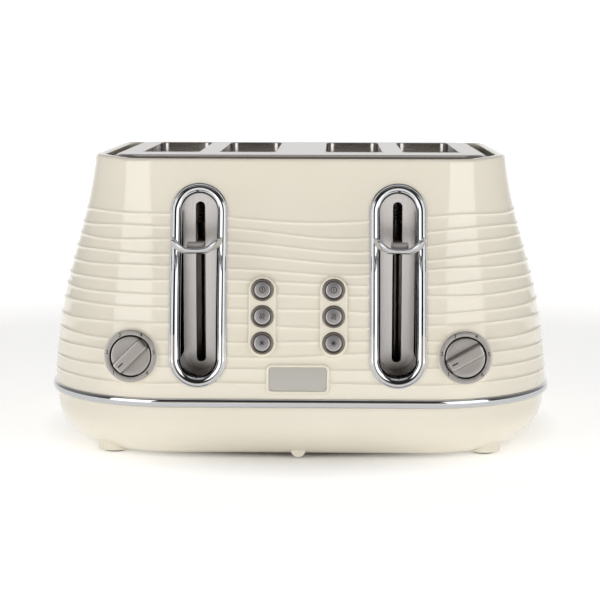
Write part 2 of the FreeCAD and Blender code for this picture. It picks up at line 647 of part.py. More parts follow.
def guide_grille(x):
    """One wire grille: two rails along the slot joined by upright wires."""
    start = S.slot_middle - S.guide_long / 2
    wires = [rod("rail_wire", (x, start, height), S.guide_wire, S.guide_long, "y")
             for height in (S.guide_low, S.guide_high)]
    for step in range(UPRIGHTS):
        along = start + S.guide_end + step * (S.guide_long - 2 * S.guide_end) / (UPRIGHTS - 1)
        wires.append(rod("upright_wire", (x, along, S.guide_low), S.guide_wire * S.guide_thin,
                         S.guide_high - S.guide_low + S.guide_rise))
    return fuse("grille", wires)


# ---------- carriages, racks, levers ----------

def make_carriage(name, side):
    """One lever's moving steel: bracket, bush, arm and armature; racks; guides; rod and spring."""
    x = side * S.lever_x
    magnet_x = x + side * S.magnet_x
    start = S.rod_y + S.bush_radius - 0.5
    bracket = between("bracket", (x - S.bracket_half, start, S.bracket_low),
                      (x + S.bracket_half, S.chassis_front - 1.0, S.bracket_high))
    bush = rod("bush", (x, S.rod_y, S.bush_low), S.bush_radius, S.bush_high - S.bush_low)
    arm = between("arm", (x - S.arm_wide / 2, S.knob_back - 1.0, S.lever_z - S.arm_high / 2),
                  (x + S.arm_wide / 2, S.rod_y - S.bush_radius + 1.0, S.lever_z + S.arm_high / 2))
    armature_low = S.bracket_low - S.armature_thick
    armature = between("armature", (magnet_x - S.magnet_half, S.rod_y - S.magnet_deep / 2, armature_low),
                       (magnet_x + S.magnet_half, S.chassis_front - 1.0, S.bracket_low))
    bore = rod("bush_bore", (x, S.rod_y, S.bush_low - 1.0), S.rod_radius + S.rod_clear, CUT_DEPTH)
    slide = cut(f"carriage_{name}", fuse("carriage_solid", [bracket, bush, arm, armature]), bore)
    keep(slide, f"carriage_{name}")

    racks = []
    for across in (S.slot_near, S.slot_far):
        middle = side * across
        spine = between("spine", (middle - S.spine_half, S.chassis_front - 1.0, S.rack_z),
                        (middle + S.spine_half, S.chassis_back + 2.0, S.rack_z + S.rack_high))
        prongs = [spine]
        for step in range(PRONGS):
            along = S.slot_middle - S.rack_reach + step * S.prong_pitch
            low = (middle - S.rack_half, along - S.prong_thick / 2, S.rack_z + S.rack_high - S.prong_thick)
            prongs.append(block("prong", low, (2 * S.rack_half, S.prong_thick, S.prong_thick)))
        racks.append(fuse("rack", prongs))
    keep(group(f"bread_racks_{name}", racks), f"bread_racks_{name}")
    for letter, offset in (("a", -S.guide_offset), ("b", S.guide_offset)):
        grilles = [guide_grille(side * across + offset) for across in (S.slot_near, S.slot_far)]
        keep(group(f"bread_guides_{name}_{letter}", grilles), f"bread_guides_{name}_{letter}")

    keep(rod(f"guide_rod_{name}", (x, S.rod_y, S.chassis_low), S.rod_radius,
             S.chassis_top - S.chassis_low + S.tab_thick), f"guide_rod_{name}")
    keep(block(f"latch_magnet_{name}", (magnet_x - S.magnet_half, S.rod_y - S.magnet_deep / 2, S.chassis_low),
               (2 * S.magnet_half, S.magnet_deep, S.magnet_tall)), f"latch_magnet_{name}")
    path = doc.addObject("Part::Helix", f"spring_path_{name}")
    bind(path, "Pitch", S.spring_pitch)
    bind(path, "Height", S.chassis_top - S.tab_thick - S.bush_high - 2 * S.spring_gap)
    bind(path, "Radius", S.spring_coil)
    place(path, (x, S.rod_y, S.bush_high + S.spring_gap))
    section = doc.addObject("Part::Circle", f"spring_section_{name}")
    bind(section, "Radius", S.spring_wire)
    place(section, (x + S.spring_coil, S.rod_y, S.bush_high + S.spring_gap))
    section.Placement = FreeCAD.Placement(section.Placement.Base, FreeCAD.Rotation(V(1, 0, 0), 90))
    spring = doc.addObject("Part::Sweep", f"lift_spring_{name}")
    spring.Sections = [section]
    spring.Spine = (path, ["Edge1"])
    spring.Solid = True
    spring.Frenet = True
    keep(spring, f"lift_spring_{name}")


def scoop_outline(flat, half, side, front):
    """A D seen from above: straight back and sides, and a round front."""
    half, side, front = number(half), number(side), number(front)
    flat.addGeometry([
        Part.LineSegment(V(half, -side, 0), V(half, 0, 0)),
        Part.LineSegment(V(half, 0, 0), V(-half, 0, 0)),
        Part.LineSegment(V(-half, 0, 0), V(-half, -side, 0)),
        Part.Arc(V(-half, -side, 0), V(0, -front, 0), V(half, -side, 0)),
    ], False)
    for first, second in ((0, 1), (1, 2)):
        flat.addConstraint(Sketcher.Constraint("Coincident", first, 2, second, 1))
    flat.addConstraint(Sketcher.Constraint("Coincident", 2, 2, 3, 1))
    flat.addConstraint(Sketcher.Constraint("Coincident", 3, 2, 0, 1))
    return flat


def make_lever_knob(name, side):
    """The finger scoop: a D-shaped cup with raised horns and a sleeve over the arm."""
    x = side * S.lever_x
    owner = new_body(f"scoop_{name}")
    front = S.knob_back - S.knob_front
    flat = scoop_outline(sketch(owner, "scoop"), S.knob_half, S.knob_side, front)
    pad(owner, flat, S.knob_deep)
    inner = sketch(owner, "scoop_inner", shift=(0, -S.knob_wall, S.knob_deep))
    scoop_outline(inner, S.knob_half - S.knob_wall, S.knob_side - S.knob_wall, front - 2 * S.knob_wall)
    pocket(owner, inner, S.knob_deep - S.knob_floor)
    place(owner, (x, S.knob_back, S.knob_low))
    pieces = [owner]
    for start in (x - S.knob_half, x + S.knob_half - S.knob_wall):
        pieces.append(block("horn", (start, S.knob_back - S.knob_side, S.knob_low),
                            (S.knob_wall, S.knob_side, S.knob_horn)))
    low = S.lever_z - S.arm_high / 2 - S.sleeve_wall
    high = S.lever_z + S.arm_high / 2 + S.sleeve_wall
    pieces.append(between("sleeve", (x - S.sleeve_half, S.knob_back - S.knob_wall, low),
                          (x + S.sleeve_half, S.plate_front - S.sleeve_stop, high)))
    arm = between("arm_room", (x - S.arm_wide / 2, S.knob_back - 1.0, S.lever_z - S.arm_high / 2),
                  (x + S.arm_wide / 2, S.plate_front, S.lever_z + S.arm_high / 2))
    keep(cut(f"lever_knob_{name}", fuse("knob_solid", pieces), arm), f"lever_knob_{name}")


def make_bezel(name, side):
    """Chrome bezel: a flange that follows the cover, a tube behind it and the slotted plate."""
    x = side * S.lever_x
    middle = (S.bezel_low + S.bezel_high) / 2
    half_tall = (S.bezel_high - S.bezel_low) / 2

    def prism(label, inset, back, front):
        owner = new_body(label)
        flat = sketch(owner, f"{label}_outline", "XZ_Plane", (x, middle, back))
        pad(owner, racetrack(flat, S.bezel_half - inset, half_tall - inset), front - back)
        return owner

    room = prism(f"bezel_room_{name}", S.bezel_half - S.bezel_bore, S.prism_near, S.prism_far)
    outer = common(f"bezel_rim_{name}", prism(f"bezel_outer_{name}", 0.0, S.flange_back, S.prism_far), over_bezel)
    rim = cut(f"bezel_flange_{name}", outer, on_cover)
    lap = S.bezel_lap
    tube = common(f"bezel_tube_{name}", prism(f"bezel_inner_{name}", lap, S.bezel_back, S.prism_far), over_bezel)
    keep(cut(f"lever_bezel_{name}", fuse(f"bezel_solid_{name}", [rim, tube]), room),
         f"lever_bezel_{name}")
    plate = prism(f"slot_plate_{name}", S.bezel_half - S.bezel_bore, S.plate_back, -S.plate_front)
    slot_middle = (S.lever_slot_low + S.lever_slot_high) / 2
    slot = sketch(plate, "lever_slot", "XZ_Plane", (x, slot_middle, -S.plate_front))
    half_long = (S.lever_slot_high - S.lever_slot_low) / 2
    pocket(plate, racetrack(slot, S.lever_slot_half, half_long), 2 * (-S.plate_front - S.plate_back))
    keep(plate, f"slot_plate_{name}")


# ---------- dials and buttons ----------

def make_dial(name, side, turn):
    """Printed ring, knob with a bar grip on its shaft, and the timer control behind."""
    spot = (side * S.dial_x, S.dial_y, S.dial_z)
    ring = new_body(f"dial_ring_{name}")
    thick = S.dial_ring_thick
    pad(ring, circle(sketch(ring, "ring_outline", shift=(0, 0, -thick)), S.dial_outer), thick)
    pocket(ring, circle(sketch(ring, "ring_inner"), S.dial_inner), thick)
    keep(place(ring, spot, S.dial_tilt), f"dial_ring_{name}")

    knob = new_body(f"dial_knob_{name}")
    pad(knob, circle(sketch(knob, "disc", shift=(0, 0, -S.disc_back)), S.dial_disc), S.disc_thick)
    pad(knob, circle(sketch(knob, "shaft", shift=(0, 0, -S.shaft_back)), S.dial_shaft), S.shaft_long)
    grip = new_body(f"grip_{name}")
    bar = sketch(grip, "grip_outline", shift=(0, 0, -S.grip_back))
    rounded_rectangle(bar, S.dial_grip_half, S.dial_disc - 0.6, S.grip_corner)
    pad(grip, bar, S.dial_grip_out + S.grip_back)
    place(knob, spot, S.dial_tilt)
    place(grip, spot, S.dial_tilt)
    turned = FreeCAD.Rotation(V(0, 0, 1), number(turn))
    grip.Placement = grip.Placement.multiply(FreeCAD.Placement(V(0, 0, 0), turned))
    keep(fuse(f"dial_knob_{name}", [knob, grip]), f"dial_knob_{name}")

    timer = new_body(f"timer_{name}")
    pad(timer, circle(sketch(timer, "timer_can", shift=(0, 0, -S.timer_back)), S.timer_radius), S.timer_long)
    bore = sketch(timer, "timer_bore", shift=(0, 0, S.timer_long - S.timer_back))
    pocket(timer, circle(bore, S.dial_shaft + S.rod_clear), S.timer_bore)
    keep(place(timer, spot, S.dial_tilt), f"timer_{name}")


def make_buttons(name, side):
    """Three caps in dark rings on the raised pad, and the board with its switches behind."""
    spot = (side * S.button_x, S.button_y, S.button_z)
    rings = []
    board = new_body(f"control_board_{name}")
    outline = sketch(board, "board_outline", shift=(0, 0, -S.board_back))
    pad(board, rounded_rectangle(outline, S.board_half, S.board_tall, S.board_corner), S.board_thick)
    for use, step in (("cancel", 1), ("reheat", 0), ("defrost", -1)):
        up = step * S.button_pitch
        ring = new_body(f"ring_{use}_{name}")
        pad(ring, circle(sketch(ring, "ring_outline", shift=(0, up, S.pad_proud)), S.button_ring), S.ring_thick)
        hole = sketch(ring, "ring_inner", shift=(0, up, S.pad_proud + S.ring_thick))
        pocket(ring, circle(hole, S.button_radius + S.ring_gap), S.ring_thick)
        rings.append(place(ring, spot, S.button_tilt))
        cap = new_body(f"button_{use}_{name}")
        base = sketch(cap, "cap", shift=(0, up, -S.cap_back))
        pad(cap, circle(base, S.button_radius), S.cap_back + S.button_out)
        pad(cap, circle(sketch(cap, "stem", shift=(0, up, -S.stem_back)), S.stem_radius), S.stem_long)
        keep(place(cap, spot, S.button_tilt), f"button_{use}_{name}")
        switch = sketch(board, "switch", shift=(0, up, S.board_thick - S.board_back))
        rounded_rectangle(switch, S.switch_half, S.switch_half, S.switch_corner)
        pad(board, switch, S.switch_tall)
    keep(group(f"button_rings_{name}", rings), f"button_rings_{name}")
    keep(place(board, spot, S.button_tilt), f"control_board_{name}")
    posts = []
    for across in POST_ACROSS:
        for up in POST_UP:
            post = new_body(f"post_{name}")
            foot = sketch(post, "post", shift=(across, up, S.board_thick - S.board_back))
            pad(post, circle(foot, S.post_radius), S.post_long)
            place(post, spot, S.button_tilt)
            posts.append(common("board_post", post, in_cover))
    return posts


def make_tray(name, side):
    """A crumb tray: a shallow pan with a curved pull at the back."""
    middle = side * (S.tray_inner + S.tray_wide / 2)
    owner = new_body(f"tray_pan_{name}")
    centre = (middle, (S.tray_front + S.tray_back) / 2)
    half_long = (S.tray_back - S.tray_front) / 2
    outline = sketch(owner, "pan_outline", shift=(*centre, S.tray_low))
    pad(owner, rounded_rectangle(outline, S.tray_wide / 2, half_long, S.tray_corner), S.tray_tall)
    inner = sketch(owner, "pan_inner", shift=(*centre, S.tray_low + S.tray_tall))
    thin = S.tray_sheet
    rounded_rectangle(inner, S.tray_wide / 2 - thin, half_long - thin, S.tray_corner - thin)
    pocket(owner, inner, S.tray_tall - thin)
    pull = new_body(f"tray_pull_{name}")
    flat = sketch(pull, "pull_outline", shift=(middle, S.tray_back - 1.0, S.tray_low + S.pull_up))
    half = number(S.pull_half)
    flat.addGeometry([
        Part.LineSegment(V(-half, 0, 0), V(half, 0, 0)),
        Part.Arc(V(half, 0, 0), V(0, number(S.tray_handle - S.tray_back) + 1.0, 0), V(-half, 0, 0)),
    ], False)
    flat.addConstraint(Sketcher.Constraint("Coincident", 0, 2, 1, 1))
    flat.addConstraint(Sketcher.Constraint("Coincident", 1, 2, 0, 1))
    pad(pull, flat, S.pull_thick)
    keep(fuse(f"crumb_tray_{name}", [owner, pull]), f"crumb_tray_{name}")


make_cover()
make_base()
make_deck()
make_chassis()
all_posts = []
dial_turns = {"left": S.dial_turn_left, "right": S.dial_turn_right}
for side_name, side_sign in SIDES:
    make_carriage(side_name, side_sign)
    make_lever_knob(side_name, side_sign)
    make_bezel(side_name, side_sign)
    make_dial(side_name, side_sign, dial_turns[side_name])
    all_posts += make_buttons(side_name, side_sign)
    make_tray(side_name, side_sign)
keep(group("board_posts", all_posts), "board_posts")
doc.recompute()

# ---------- checks and files ----------

for item in doc.Objects:
    if "Invalid" in item.State or "Error" in item.State:
        raise SystemExit(f"{item.Name} ({item.Label}) failed: {item.State}")
    if item.TypeId in ("PartDesign::Pocket", "PartDesign::SubtractiveLoft"):
        if item.Shape.Volume > item.BaseFeature.Shape.Volume - 1e-3:
            raise SystemExit(f"{item.Name} cuts nothing")
os.makedirs("parts", exist_ok=True)
SINGLE = ("body_shell", "base_moulding", "trim_band", "top_plate", "lever_bezel_left", "lever_bezel_right")
for label, item in kept.items():
    shape = item.Shape
    if label in SINGLE and len(shape.Solids) != 1:
        raise SystemExit(f"{label} is in {len(shape.Solids)} pieces")
    if shape.isNull() or not shape.isValid() or not shape.Solids:
        raise SystemExit(f"{label} has no valid solid")
    shape.exportStep(f"parts/{label}.step")
    box = shape.BoundBox
    low, high = (box.XMin, box.YMin, box.ZMin), (box.XMax, box.YMax, box.ZMax)
    print(f"{label:24s} solids {len(shape.Solids):3d} volume {shape.Volume:10.1f}",
          [round(value, 1) for value in low], [round(value, 1) for value in high])
print(f"{len(kept)} sub-parts")
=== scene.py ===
# %% [markdown]
# # A four-slot pop-up toaster
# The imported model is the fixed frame: every moving part already has its body and its joint.
# The looks are built around it in metres, in the same places, so a piece needs no fitting.

# %% Load the frame and keep its box
import math

import bmesh
import bpy
import numpy as np
from mathutils import Matrix, Vector


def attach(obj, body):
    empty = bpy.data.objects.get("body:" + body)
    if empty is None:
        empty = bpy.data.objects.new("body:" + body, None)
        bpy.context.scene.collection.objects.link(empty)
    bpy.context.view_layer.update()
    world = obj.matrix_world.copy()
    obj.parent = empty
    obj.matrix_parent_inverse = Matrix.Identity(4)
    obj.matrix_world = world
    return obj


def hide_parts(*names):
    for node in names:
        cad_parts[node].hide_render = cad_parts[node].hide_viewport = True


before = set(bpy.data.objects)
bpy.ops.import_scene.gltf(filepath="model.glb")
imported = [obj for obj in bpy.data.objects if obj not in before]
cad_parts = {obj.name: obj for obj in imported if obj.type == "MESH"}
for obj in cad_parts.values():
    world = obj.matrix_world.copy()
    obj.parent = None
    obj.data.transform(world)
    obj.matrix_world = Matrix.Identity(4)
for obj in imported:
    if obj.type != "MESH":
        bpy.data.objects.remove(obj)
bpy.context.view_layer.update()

MM = 0.001
SIDES = (("left", -1), ("right", 1))

# %% [markdown]
# ## Surfaces from two parameters
# Nearly every moulding here is a stack of closed outlines: one parameter runs round the outline,
# the other climbs through the stack. Working both out as whole arrays keeps a shape readable as
# a formula, and one helper turns any such grid of points into a mesh.

# %% Grid, caps and mesh
def quads(rows, columns, wrap_rows=False, wrap_columns=True):
    """Corner numbers of the faces between neighbouring rows and columns of a grid of points."""
    row = np.arange(rows if wrap_rows else rows - 1)[:, None]
    column = np.arange(columns if wrap_columns else columns - 1)[None, :]
    next_row, next_column = (row + 1) % rows, (column + 1) % columns
    return np.stack([row * columns + column, row * columns + next_column,
                     next_row * columns + next_column, next_row * columns + column], -1).reshape(-1, 4)


def skin(points, ends=True, wrap_rows=False, wrap_columns=True):
    """A surface through a grid of points in mm (row, column, xyz); ends=True closes both end rows."""
    rows, columns = points.shape[:2]
    faces = quads(rows, columns, wrap_rows, wrap_columns).tolist()
    if ends and not wrap_rows:
        faces += [list(range(columns)), list(range((rows - 1) * columns, rows * columns))]
    return points.reshape(-1, 3), faces


def piece(name, surfaces, body, finish, stands_for=(), sharp=32):
    """Joins surfaces into one mesh: seams merged, faces turned outwards, edges over an angle kept crisp."""
    corners, faces, start = [], [], 0
    for points, surface_faces in surfaces:
        corners.append(np.asarray(points, float))
        faces += [[start + index for index in face] for face in surface_faces]
        start += len(points)
    mesh = bpy.data.meshes.new(name)
    mesh.from_pydata((np.concatenate(corners) * MM).tolist(), [], faces)
    work = bmesh.new()
    work.from_mesh(mesh)
    bmesh.ops.remove_doubles(work, verts=work.verts, dist=2e-6)
    bmesh.ops.recalc_face_normals(work, faces=work.faces)
    work.to_mesh(mesh)
    work.free()
    mesh.shade_smooth()
    mesh.set_sharp_from_angle(angle=math.radians(sharp))
    made = bpy.data.objects.new(name, mesh)
    bpy.context.scene.collection.objects.link(made)
    mesh.materials.append(finish)
    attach(made, body)
    if stands_for:
        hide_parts(*stands_for)
    return made


def open_edges(made):
    """How many edges of a mesh don't have exactly two faces."""
    edges = np.sort(np.array([key for face in made.data.polygons for key in face.edge_keys]), axis=1)
    _, uses = np.unique(edges, axis=0, return_counts=True)
    return int((uses != 2).sum())


# %% [markdown]
# Rounded rectangles, slots with round ends and circles are one family: a straight share of the
# half width plus a corner that swings through a quarter turn. Each column keeps its own share and
# direction, so outlines of any size line up column by column.

# %% Outlines
def path_columns(front, corner, side):
    """Columns round an outline from the front middle: shares of the straight halves and a heading."""
    def leg(share_from, share_to, heading, count):
        step = np.linspace(0, 1, count, endpoint=False)[:, None]
        shares = np.array(share_from) + (np.array(share_to) - np.array(share_from)) * step
        return np.hstack([shares, np.full((count, 1), heading)])

    def swing(share, heading, count):
        step = np.linspace(0, 1, count, endpoint=False)[:, None]
        return np.hstack([np.repeat([share], count, 0), heading + 90 * step])

    legs = [leg((-1, -1), (1, -1), -90, front), swing((1, -1), -90, corner),
            leg((1, -1), (1, 1), 0, side), swing((1, 1), 0, corner),
            leg((1, 1), (-1, 1), 90, front), swing((-1, 1), 90, corner),
            leg((-1, 1), (-1, -1), 180, side), swing((-1, -1), 180, corner)]
    table = np.vstack(legs)
    heading = np.radians(table[:, 2])
    return table[:, 0], table[:, 1], np.cos(heading), np.sin(heading)


def outline(columns, half_wide, half_tall, corner):
    """Points of the outline: straight share times (half - corner), plus the corner radius along the heading."""
    across, up, east, north = columns
    half_wide, half_tall, corner = (np.asarray(v, float)[..., None] for v in (half_wide, half_tall, corner))
    return np.stack(np.broadcast_arrays(across * (half_wide - corner) + corner * east,
                                        up * (half_tall - corner) + corner * north), -1)


def stack(columns, half_wide, half_tall, corner, height):
    """A grid of level outlines, one for each height; sizes may be one number or one for each row."""
    height = np.asarray(height, float)
    flat = outline(columns, *(np.broadcast_to(v, height.shape) for v in (half_wide, half_tall, corner)))
    return np.concatenate([flat, np.broadcast_to(height[:, None, None], flat.shape[:2] + (1,))], -1)


def arc(radius, start, stop, count=6):
    """Offsets (in, up) along a rounded edge, in degrees from the horizontal."""
    turn = np.radians(np.linspace(start, stop, count))
    return radius * np.cos(turn), radius * np.sin(turn)


def facing(points, spot, tilt=0.0, turn=0.0):
    """Stands a shape up on the front: its own height looks forward and tilts up; turn spins it clockwise."""
    spin, lift = math.radians(turn), math.radians(tilt)
    across, up, out = np.moveaxis(np.asarray(points, float), -1, 0)
    across, up = across * math.cos(spin) + up * math.sin(spin), up * math.cos(spin) - across * math.sin(spin)
    return np.stack([spot[0] + across,
                     spot[1] - out * math.cos(lift) + up * math.sin(lift),
                     spot[2] + out * math.sin(lift) + up * math.cos(lift)], -1)


ROUND = path_columns(1, 16, 1)
SMALL = path_columns(4, 8, 4)


# %% [markdown]
# ## Finishes
# The cover is moulded cream plastic with a warm, slightly blotchy gloss. A principled shader does
# the light, and noise in object space moves its colour and roughness a little, because a perfectly
# even colour reads as computer paint. The same recipe with other numbers gives the other plastics.

# %% Finish helpers
def new_finish(name, colour, metallic=0.0, roughness=0.4, **sockets):
    """A principled material with even values on its own sockets."""
    finish = bpy.data.materials.new(name)
    finish.use_nodes = True
    shader = finish.node_tree.nodes["Principled BSDF"]
    shader.inputs["Base Color"].default_value = (*colour, 1)
    shader.inputs["Metallic"].default_value = metallic
    shader.inputs["Roughness"].default_value = roughness
    for socket, value in sockets.items():
        shader.inputs[socket.replace("_", " ")].default_value = value
    return finish


def join(finish, source, output, target, socket):
    """Links one node's output to another node's input."""
    finish.node_tree.links.new(source.outputs[output], target.inputs[socket])


def grain(finish, scale, stretch=(1, 1, 1), detail=3.0, turn=(0, 0, 0)):
    """Noise in object space, stretched along an axis for brushed metal; returns its node."""
    nodes = finish.node_tree.nodes
    place, shift, noise = (nodes.new(f"ShaderNode{kind}") for kind in ("TexCoord", "Mapping", "TexNoise"))
    shift.inputs["Scale"].default_value = stretch
    shift.inputs["Rotation"].default_value = turn
    noise.inputs["Scale"].default_value = scale
    noise.inputs["Detail"].default_value = detail
    join(finish, place, "Object", shift, "Vector")
    join(finish, shift, "Vector", noise, "Vector")
    return noise


def vary_colour(finish, noise, dark, light):
    """The noise picks a colour between two."""
    ramp = finish.node_tree.nodes.new("ShaderNodeValToRGB")
    ramp.color_ramp.elements[0].position, ramp.color_ramp.elements[1].position = 0.3, 0.7
    ramp.color_ramp.elements[0].color, ramp.color_ramp.elements[1].color = (*dark, 1), (*light, 1)
    join(finish, noise, "Fac", ramp, "Fac")
    join(finish, ramp, "Color", finish.node_tree.nodes["Principled BSDF"], "Base Color")


def vary_roughness(finish, noise, low, high):
    """The noise moves the roughness between two values."""
    reach = finish.node_tree.nodes.new("ShaderNodeMapRange")
    reach.inputs["From Min"].default_value, reach.inputs["From Max"].default_value = 0.3, 0.7
    reach.inputs["To Min"].default_value, reach.inputs["To Max"].default_value = low, high
    join(finish, noise, "Fac", reach, "Value")
    join(finish, reach, "Result", finish.node_tree.nodes["Principled BSDF"], "Roughness")


def add_bump(finish, noise, depth):
    """The noise raises the surface by up to a depth in metres."""
    bump = finish.node_tree.nodes.new("ShaderNodeBump")
    bump.inputs["Distance"].default_value = depth
    join(finish, noise, "Fac", bump, "Height")
    join(finish, bump, "Normal", finish.node_tree.nodes["Principled BSDF"], "Normal")


# %% Plastics
cream = new_finish("cream_gloss", (0.80, 0.75, 0.635), roughness=0.12, Coat_Weight=0.15, Coat_Roughness=0.05)
vary_colour(cream, grain(cream, 14.0), (0.785, 0.735, 0.62), (0.815, 0.765, 0.655))
vary_roughness(cream, grain(cream, 60.0), 0.05, 0.09)
add_bump(cream, grain(cream, 900.0, detail=2.0), 0.00001)
rubber = new_finish("foot_rubber", (0.05, 0.05, 0.05), roughness=0.8)
add_bump(rubber, grain(rubber, 1500.0), 0.00008)
black = new_finish("black_moulding", (0.03, 0.028, 0.026), roughness=0.5)
vary_roughness(black, grain(black, 300.0), 0.4, 0.6)
# dark brown as painted shade: it colours the real top collar and the added deck seal, which sit in the gap between rim
# and deck where shade falls
gap_shade_brown = new_finish("gap_painted_shade_moulding", (0.17, 0.12, 0.085), roughness=0.5)
vary_colour(gap_shade_brown, grain(gap_shade_brown, 40.0), (0.15, 0.105, 0.075), (0.20, 0.145, 0.10))
print("plastics:", cream.name, rubber.name, black.name, gap_shade_brown.name)

# %% [markdown]
# Chrome plate is nearly a mirror with a cool tint, so it lives on what it reflects; only faint
# waviness in its roughness keeps it from looking perfect. Brushed steel is the opposite: noise
# stretched a hundredfold along one direction makes the fine drawn lines.

# %% Metals
chrome = new_finish("chrome_plate_finish", (0.54, 0.545, 0.56), metallic=1.0, roughness=0.07)
vary_roughness(chrome, grain(chrome, 120.0), 0.05, 0.10)
brushed = new_finish("brushed_steel_finish", (0.60, 0.58, 0.57), metallic=1.0, roughness=0.34)
lines = grain(brushed, 60.0, stretch=(60, 60, 1.2), detail=4.0)
vary_colour(brushed, lines, (0.54, 0.52, 0.51), (0.66, 0.64, 0.63))
vary_roughness(brushed, lines, 0.28, 0.42)
deck_steel = new_finish("deck_steel", (0.46, 0.44, 0.425), metallic=1.0, roughness=0.30)
deck_lines = grain(deck_steel, 60.0, stretch=(1.2, 60, 60), detail=4.0)
vary_colour(deck_steel, deck_lines, (0.42, 0.40, 0.385), (0.50, 0.48, 0.465))
vary_roughness(deck_steel, deck_lines, 0.18, 0.28)
satin = new_finish("satin_silver_finish", (0.44, 0.42, 0.405), metallic=1.0, roughness=0.36)
vary_roughness(satin, grain(satin, 700.0), 0.32, 0.42)
bronze = new_finish("bronze_grey_finish", (0.20, 0.17, 0.145), metallic=0.85, roughness=0.32)
vary_roughness(bronze, grain(bronze, 500.0), 0.27, 0.38)
plated = new_finish("plated_steel_finish", (0.50, 0.47, 0.43), metallic=1.0, roughness=0.38)
vary_colour(plated, grain(plated, 45.0), (0.42, 0.385, 0.345), (0.56, 0.53, 0.49))
springs = new_finish("spring_steel_finish", (0.35, 0.34, 0.33), metallic=1.0, roughness=0.35)
vary_roughness(springs, grain(springs, 400.0), 0.3, 0.42)
ink = new_finish("print_ink", (0.02, 0.02, 0.022), roughness=0.6)
vary_roughness(ink, grain(ink, 900.0), 0.5, 0.7)
nameplate = new_finish("nameplate_silver", (0.50, 0.485, 0.45), metallic=0.3, roughness=0.42)
vary_roughness(nameplate, grain(nameplate, 1200.0), 0.36, 0.5)
print("metals:", ", ".join(m.name for m in (chrome, brushed, deck_steel, satin, bronze, plated, springs)))

# %% Finishes inside
mica = new_finish("mica_card_finish", (0.42, 0.36, 0.27), roughness=0.45)
vary_colour(mica, grain(mica, 180.0, detail=6.0), (0.30, 0.25, 0.18), (0.55, 0.48, 0.38))
ribbon = new_finish("heating_ribbon_finish", (0.22, 0.19, 0.17), metallic=1.0, roughness=0.45)
vary_roughness(ribbon, grain(ribbon, 500.0), 0.35, 0.55)
board = new_finish("circuit_board_finish", (0.03, 0.12, 0.05), roughness=0.4)
vary_colour(board, grain(board, 300.0), (0.02, 0.09, 0.035), (0.04, 0.16, 0.07))
copper = new_finish("magnet_coil_finish", (0.30, 0.13, 0.06), metallic=0.9, roughness=0.4)
vary_roughness(copper, grain(copper, 600.0, stretch=(1, 1, 8)), 0.3, 0.5)

# %% [markdown]
# ## The cover
# The cover leans in as it rises, along an S-curve, and its corners tighten with it. Low ridges run
# right round it, each one wandering a little, as if the clay of the pattern had been combed by
# hand. A closed grid does it all: rows crowd together at every ridge, then turn over the rim, go
# down the inside and come back under the lower edge.

# %% The cover's lean and ridges
BAND_WIDE, BAND_DEEP, BAND_CORNER = 162.5, 142.0, 84.0
COVER_LOW, COVER_TOP, RIM_WIDE, RIM_THICK, WALL = 41.8, 188.8, 5.5, 4.8, 2.5
RIDGES = np.array([  # height, how far it dips on the front, where the dip is
    (153.9, 6.1, 16), (145.8, 6.6, 30), (138.0, 7.2, 28), (130.0, 7.0, 37), (121.8, 4.8, 30),
    (113.4, 2.8, 52), (105.2, 1.1, 25), (97.0, 3.8, 70), (87.4, 1.9, 22), (77.6, 1.8, -18),
    (69.4, 2.2, -28), (60.3, 0.6, 20), (51.0, 0.3, -40)])[::-1]
RIDGE_PROUD, RIDGE_SPREAD, DIP_SPREAD = 0.58, 0.70, 52.0
RIDGE_WAVES = ((0.45, 5, 1.9), (0.25, 11, 2.7))  # height, waves round the cover, shift from ridge to ridge
LEAN_START, LEAN_HALF, LEAN_MIDDLE, LEAN_SPREAD = 0.47, 17.265, 130.0, 57.2
RIM_ROUND, CORNER_SHRINK, SADDLE_DROP, SADDLE_START, SADDLE_RISE = 2.2, 1.3, 1.6, 165, 23


def lean(height):
    """How far the wall has come in at a height: a scaled tanh, which is an S-curve."""
    return LEAN_START + LEAN_HALF * (1 + np.tanh((np.asarray(height, float) - LEAN_MIDDLE) / LEAN_SPREAD))


def ridge_height(index, columns):
    """Height of a ridge in each column: its level, less a Gaussian dip on front and back, plus slow waves."""
    across, up, east, north = columns
    level, dip, middle = RIDGES[index]
    along = across * 80.0 + 70.0 * east
    side = np.where(north < 0, 1.0, -1.0)
    facing_out = np.clip(np.abs(north) * 1.4, 0, 1)
    turn = 2 * np.pi * np.arange(len(across)) / len(across)
    waves = sum(high * np.sin(count * turn + shift * index) for high, count, shift in RIDGE_WAVES)
    return level - dip * facing_out * np.exp(-((along - side * middle) / DIP_SPREAD) ** 2) + waves


COVER_COLUMNS = path_columns(54, 44, 26)
between = np.array([-1.9, -1.05, -0.62, -0.3, 0.0, 0.3, 0.62, 1.05, 1.9])
ridge_lines = np.array([ridge_height(i, COVER_COLUMNS) for i in range(len(RIDGES))])
print("ridges:", len(ridge_lines), "columns:", ridge_lines.shape[1])

# %% Rows of the cover
def outer_rows():
    """Row heights, one array for each row, and how proud of the plain wall each row stands."""
    rows, proud = [np.full(ridge_lines.shape[1], COVER_LOW)], [0.0]
    for line in ridge_lines:
        gap_low = rows[-1]
        for share in (1 / 3, 2 / 3):
            rows.append(gap_low + (line + between[0] - gap_low) * share)
            proud.append(0.0)
        for offset in between:
            rows.append(line + offset)
            proud.append(RIDGE_PROUD * math.exp(-(offset / RIDGE_SPREAD) ** 2))
    last = rows[-1]
    for share in np.linspace(0, 1, 14)[1:]:
        rows.append(last + (COVER_TOP - RIM_ROUND - last) * share)
        proud.append(0.0)
    return np.array(rows), np.array(proud)


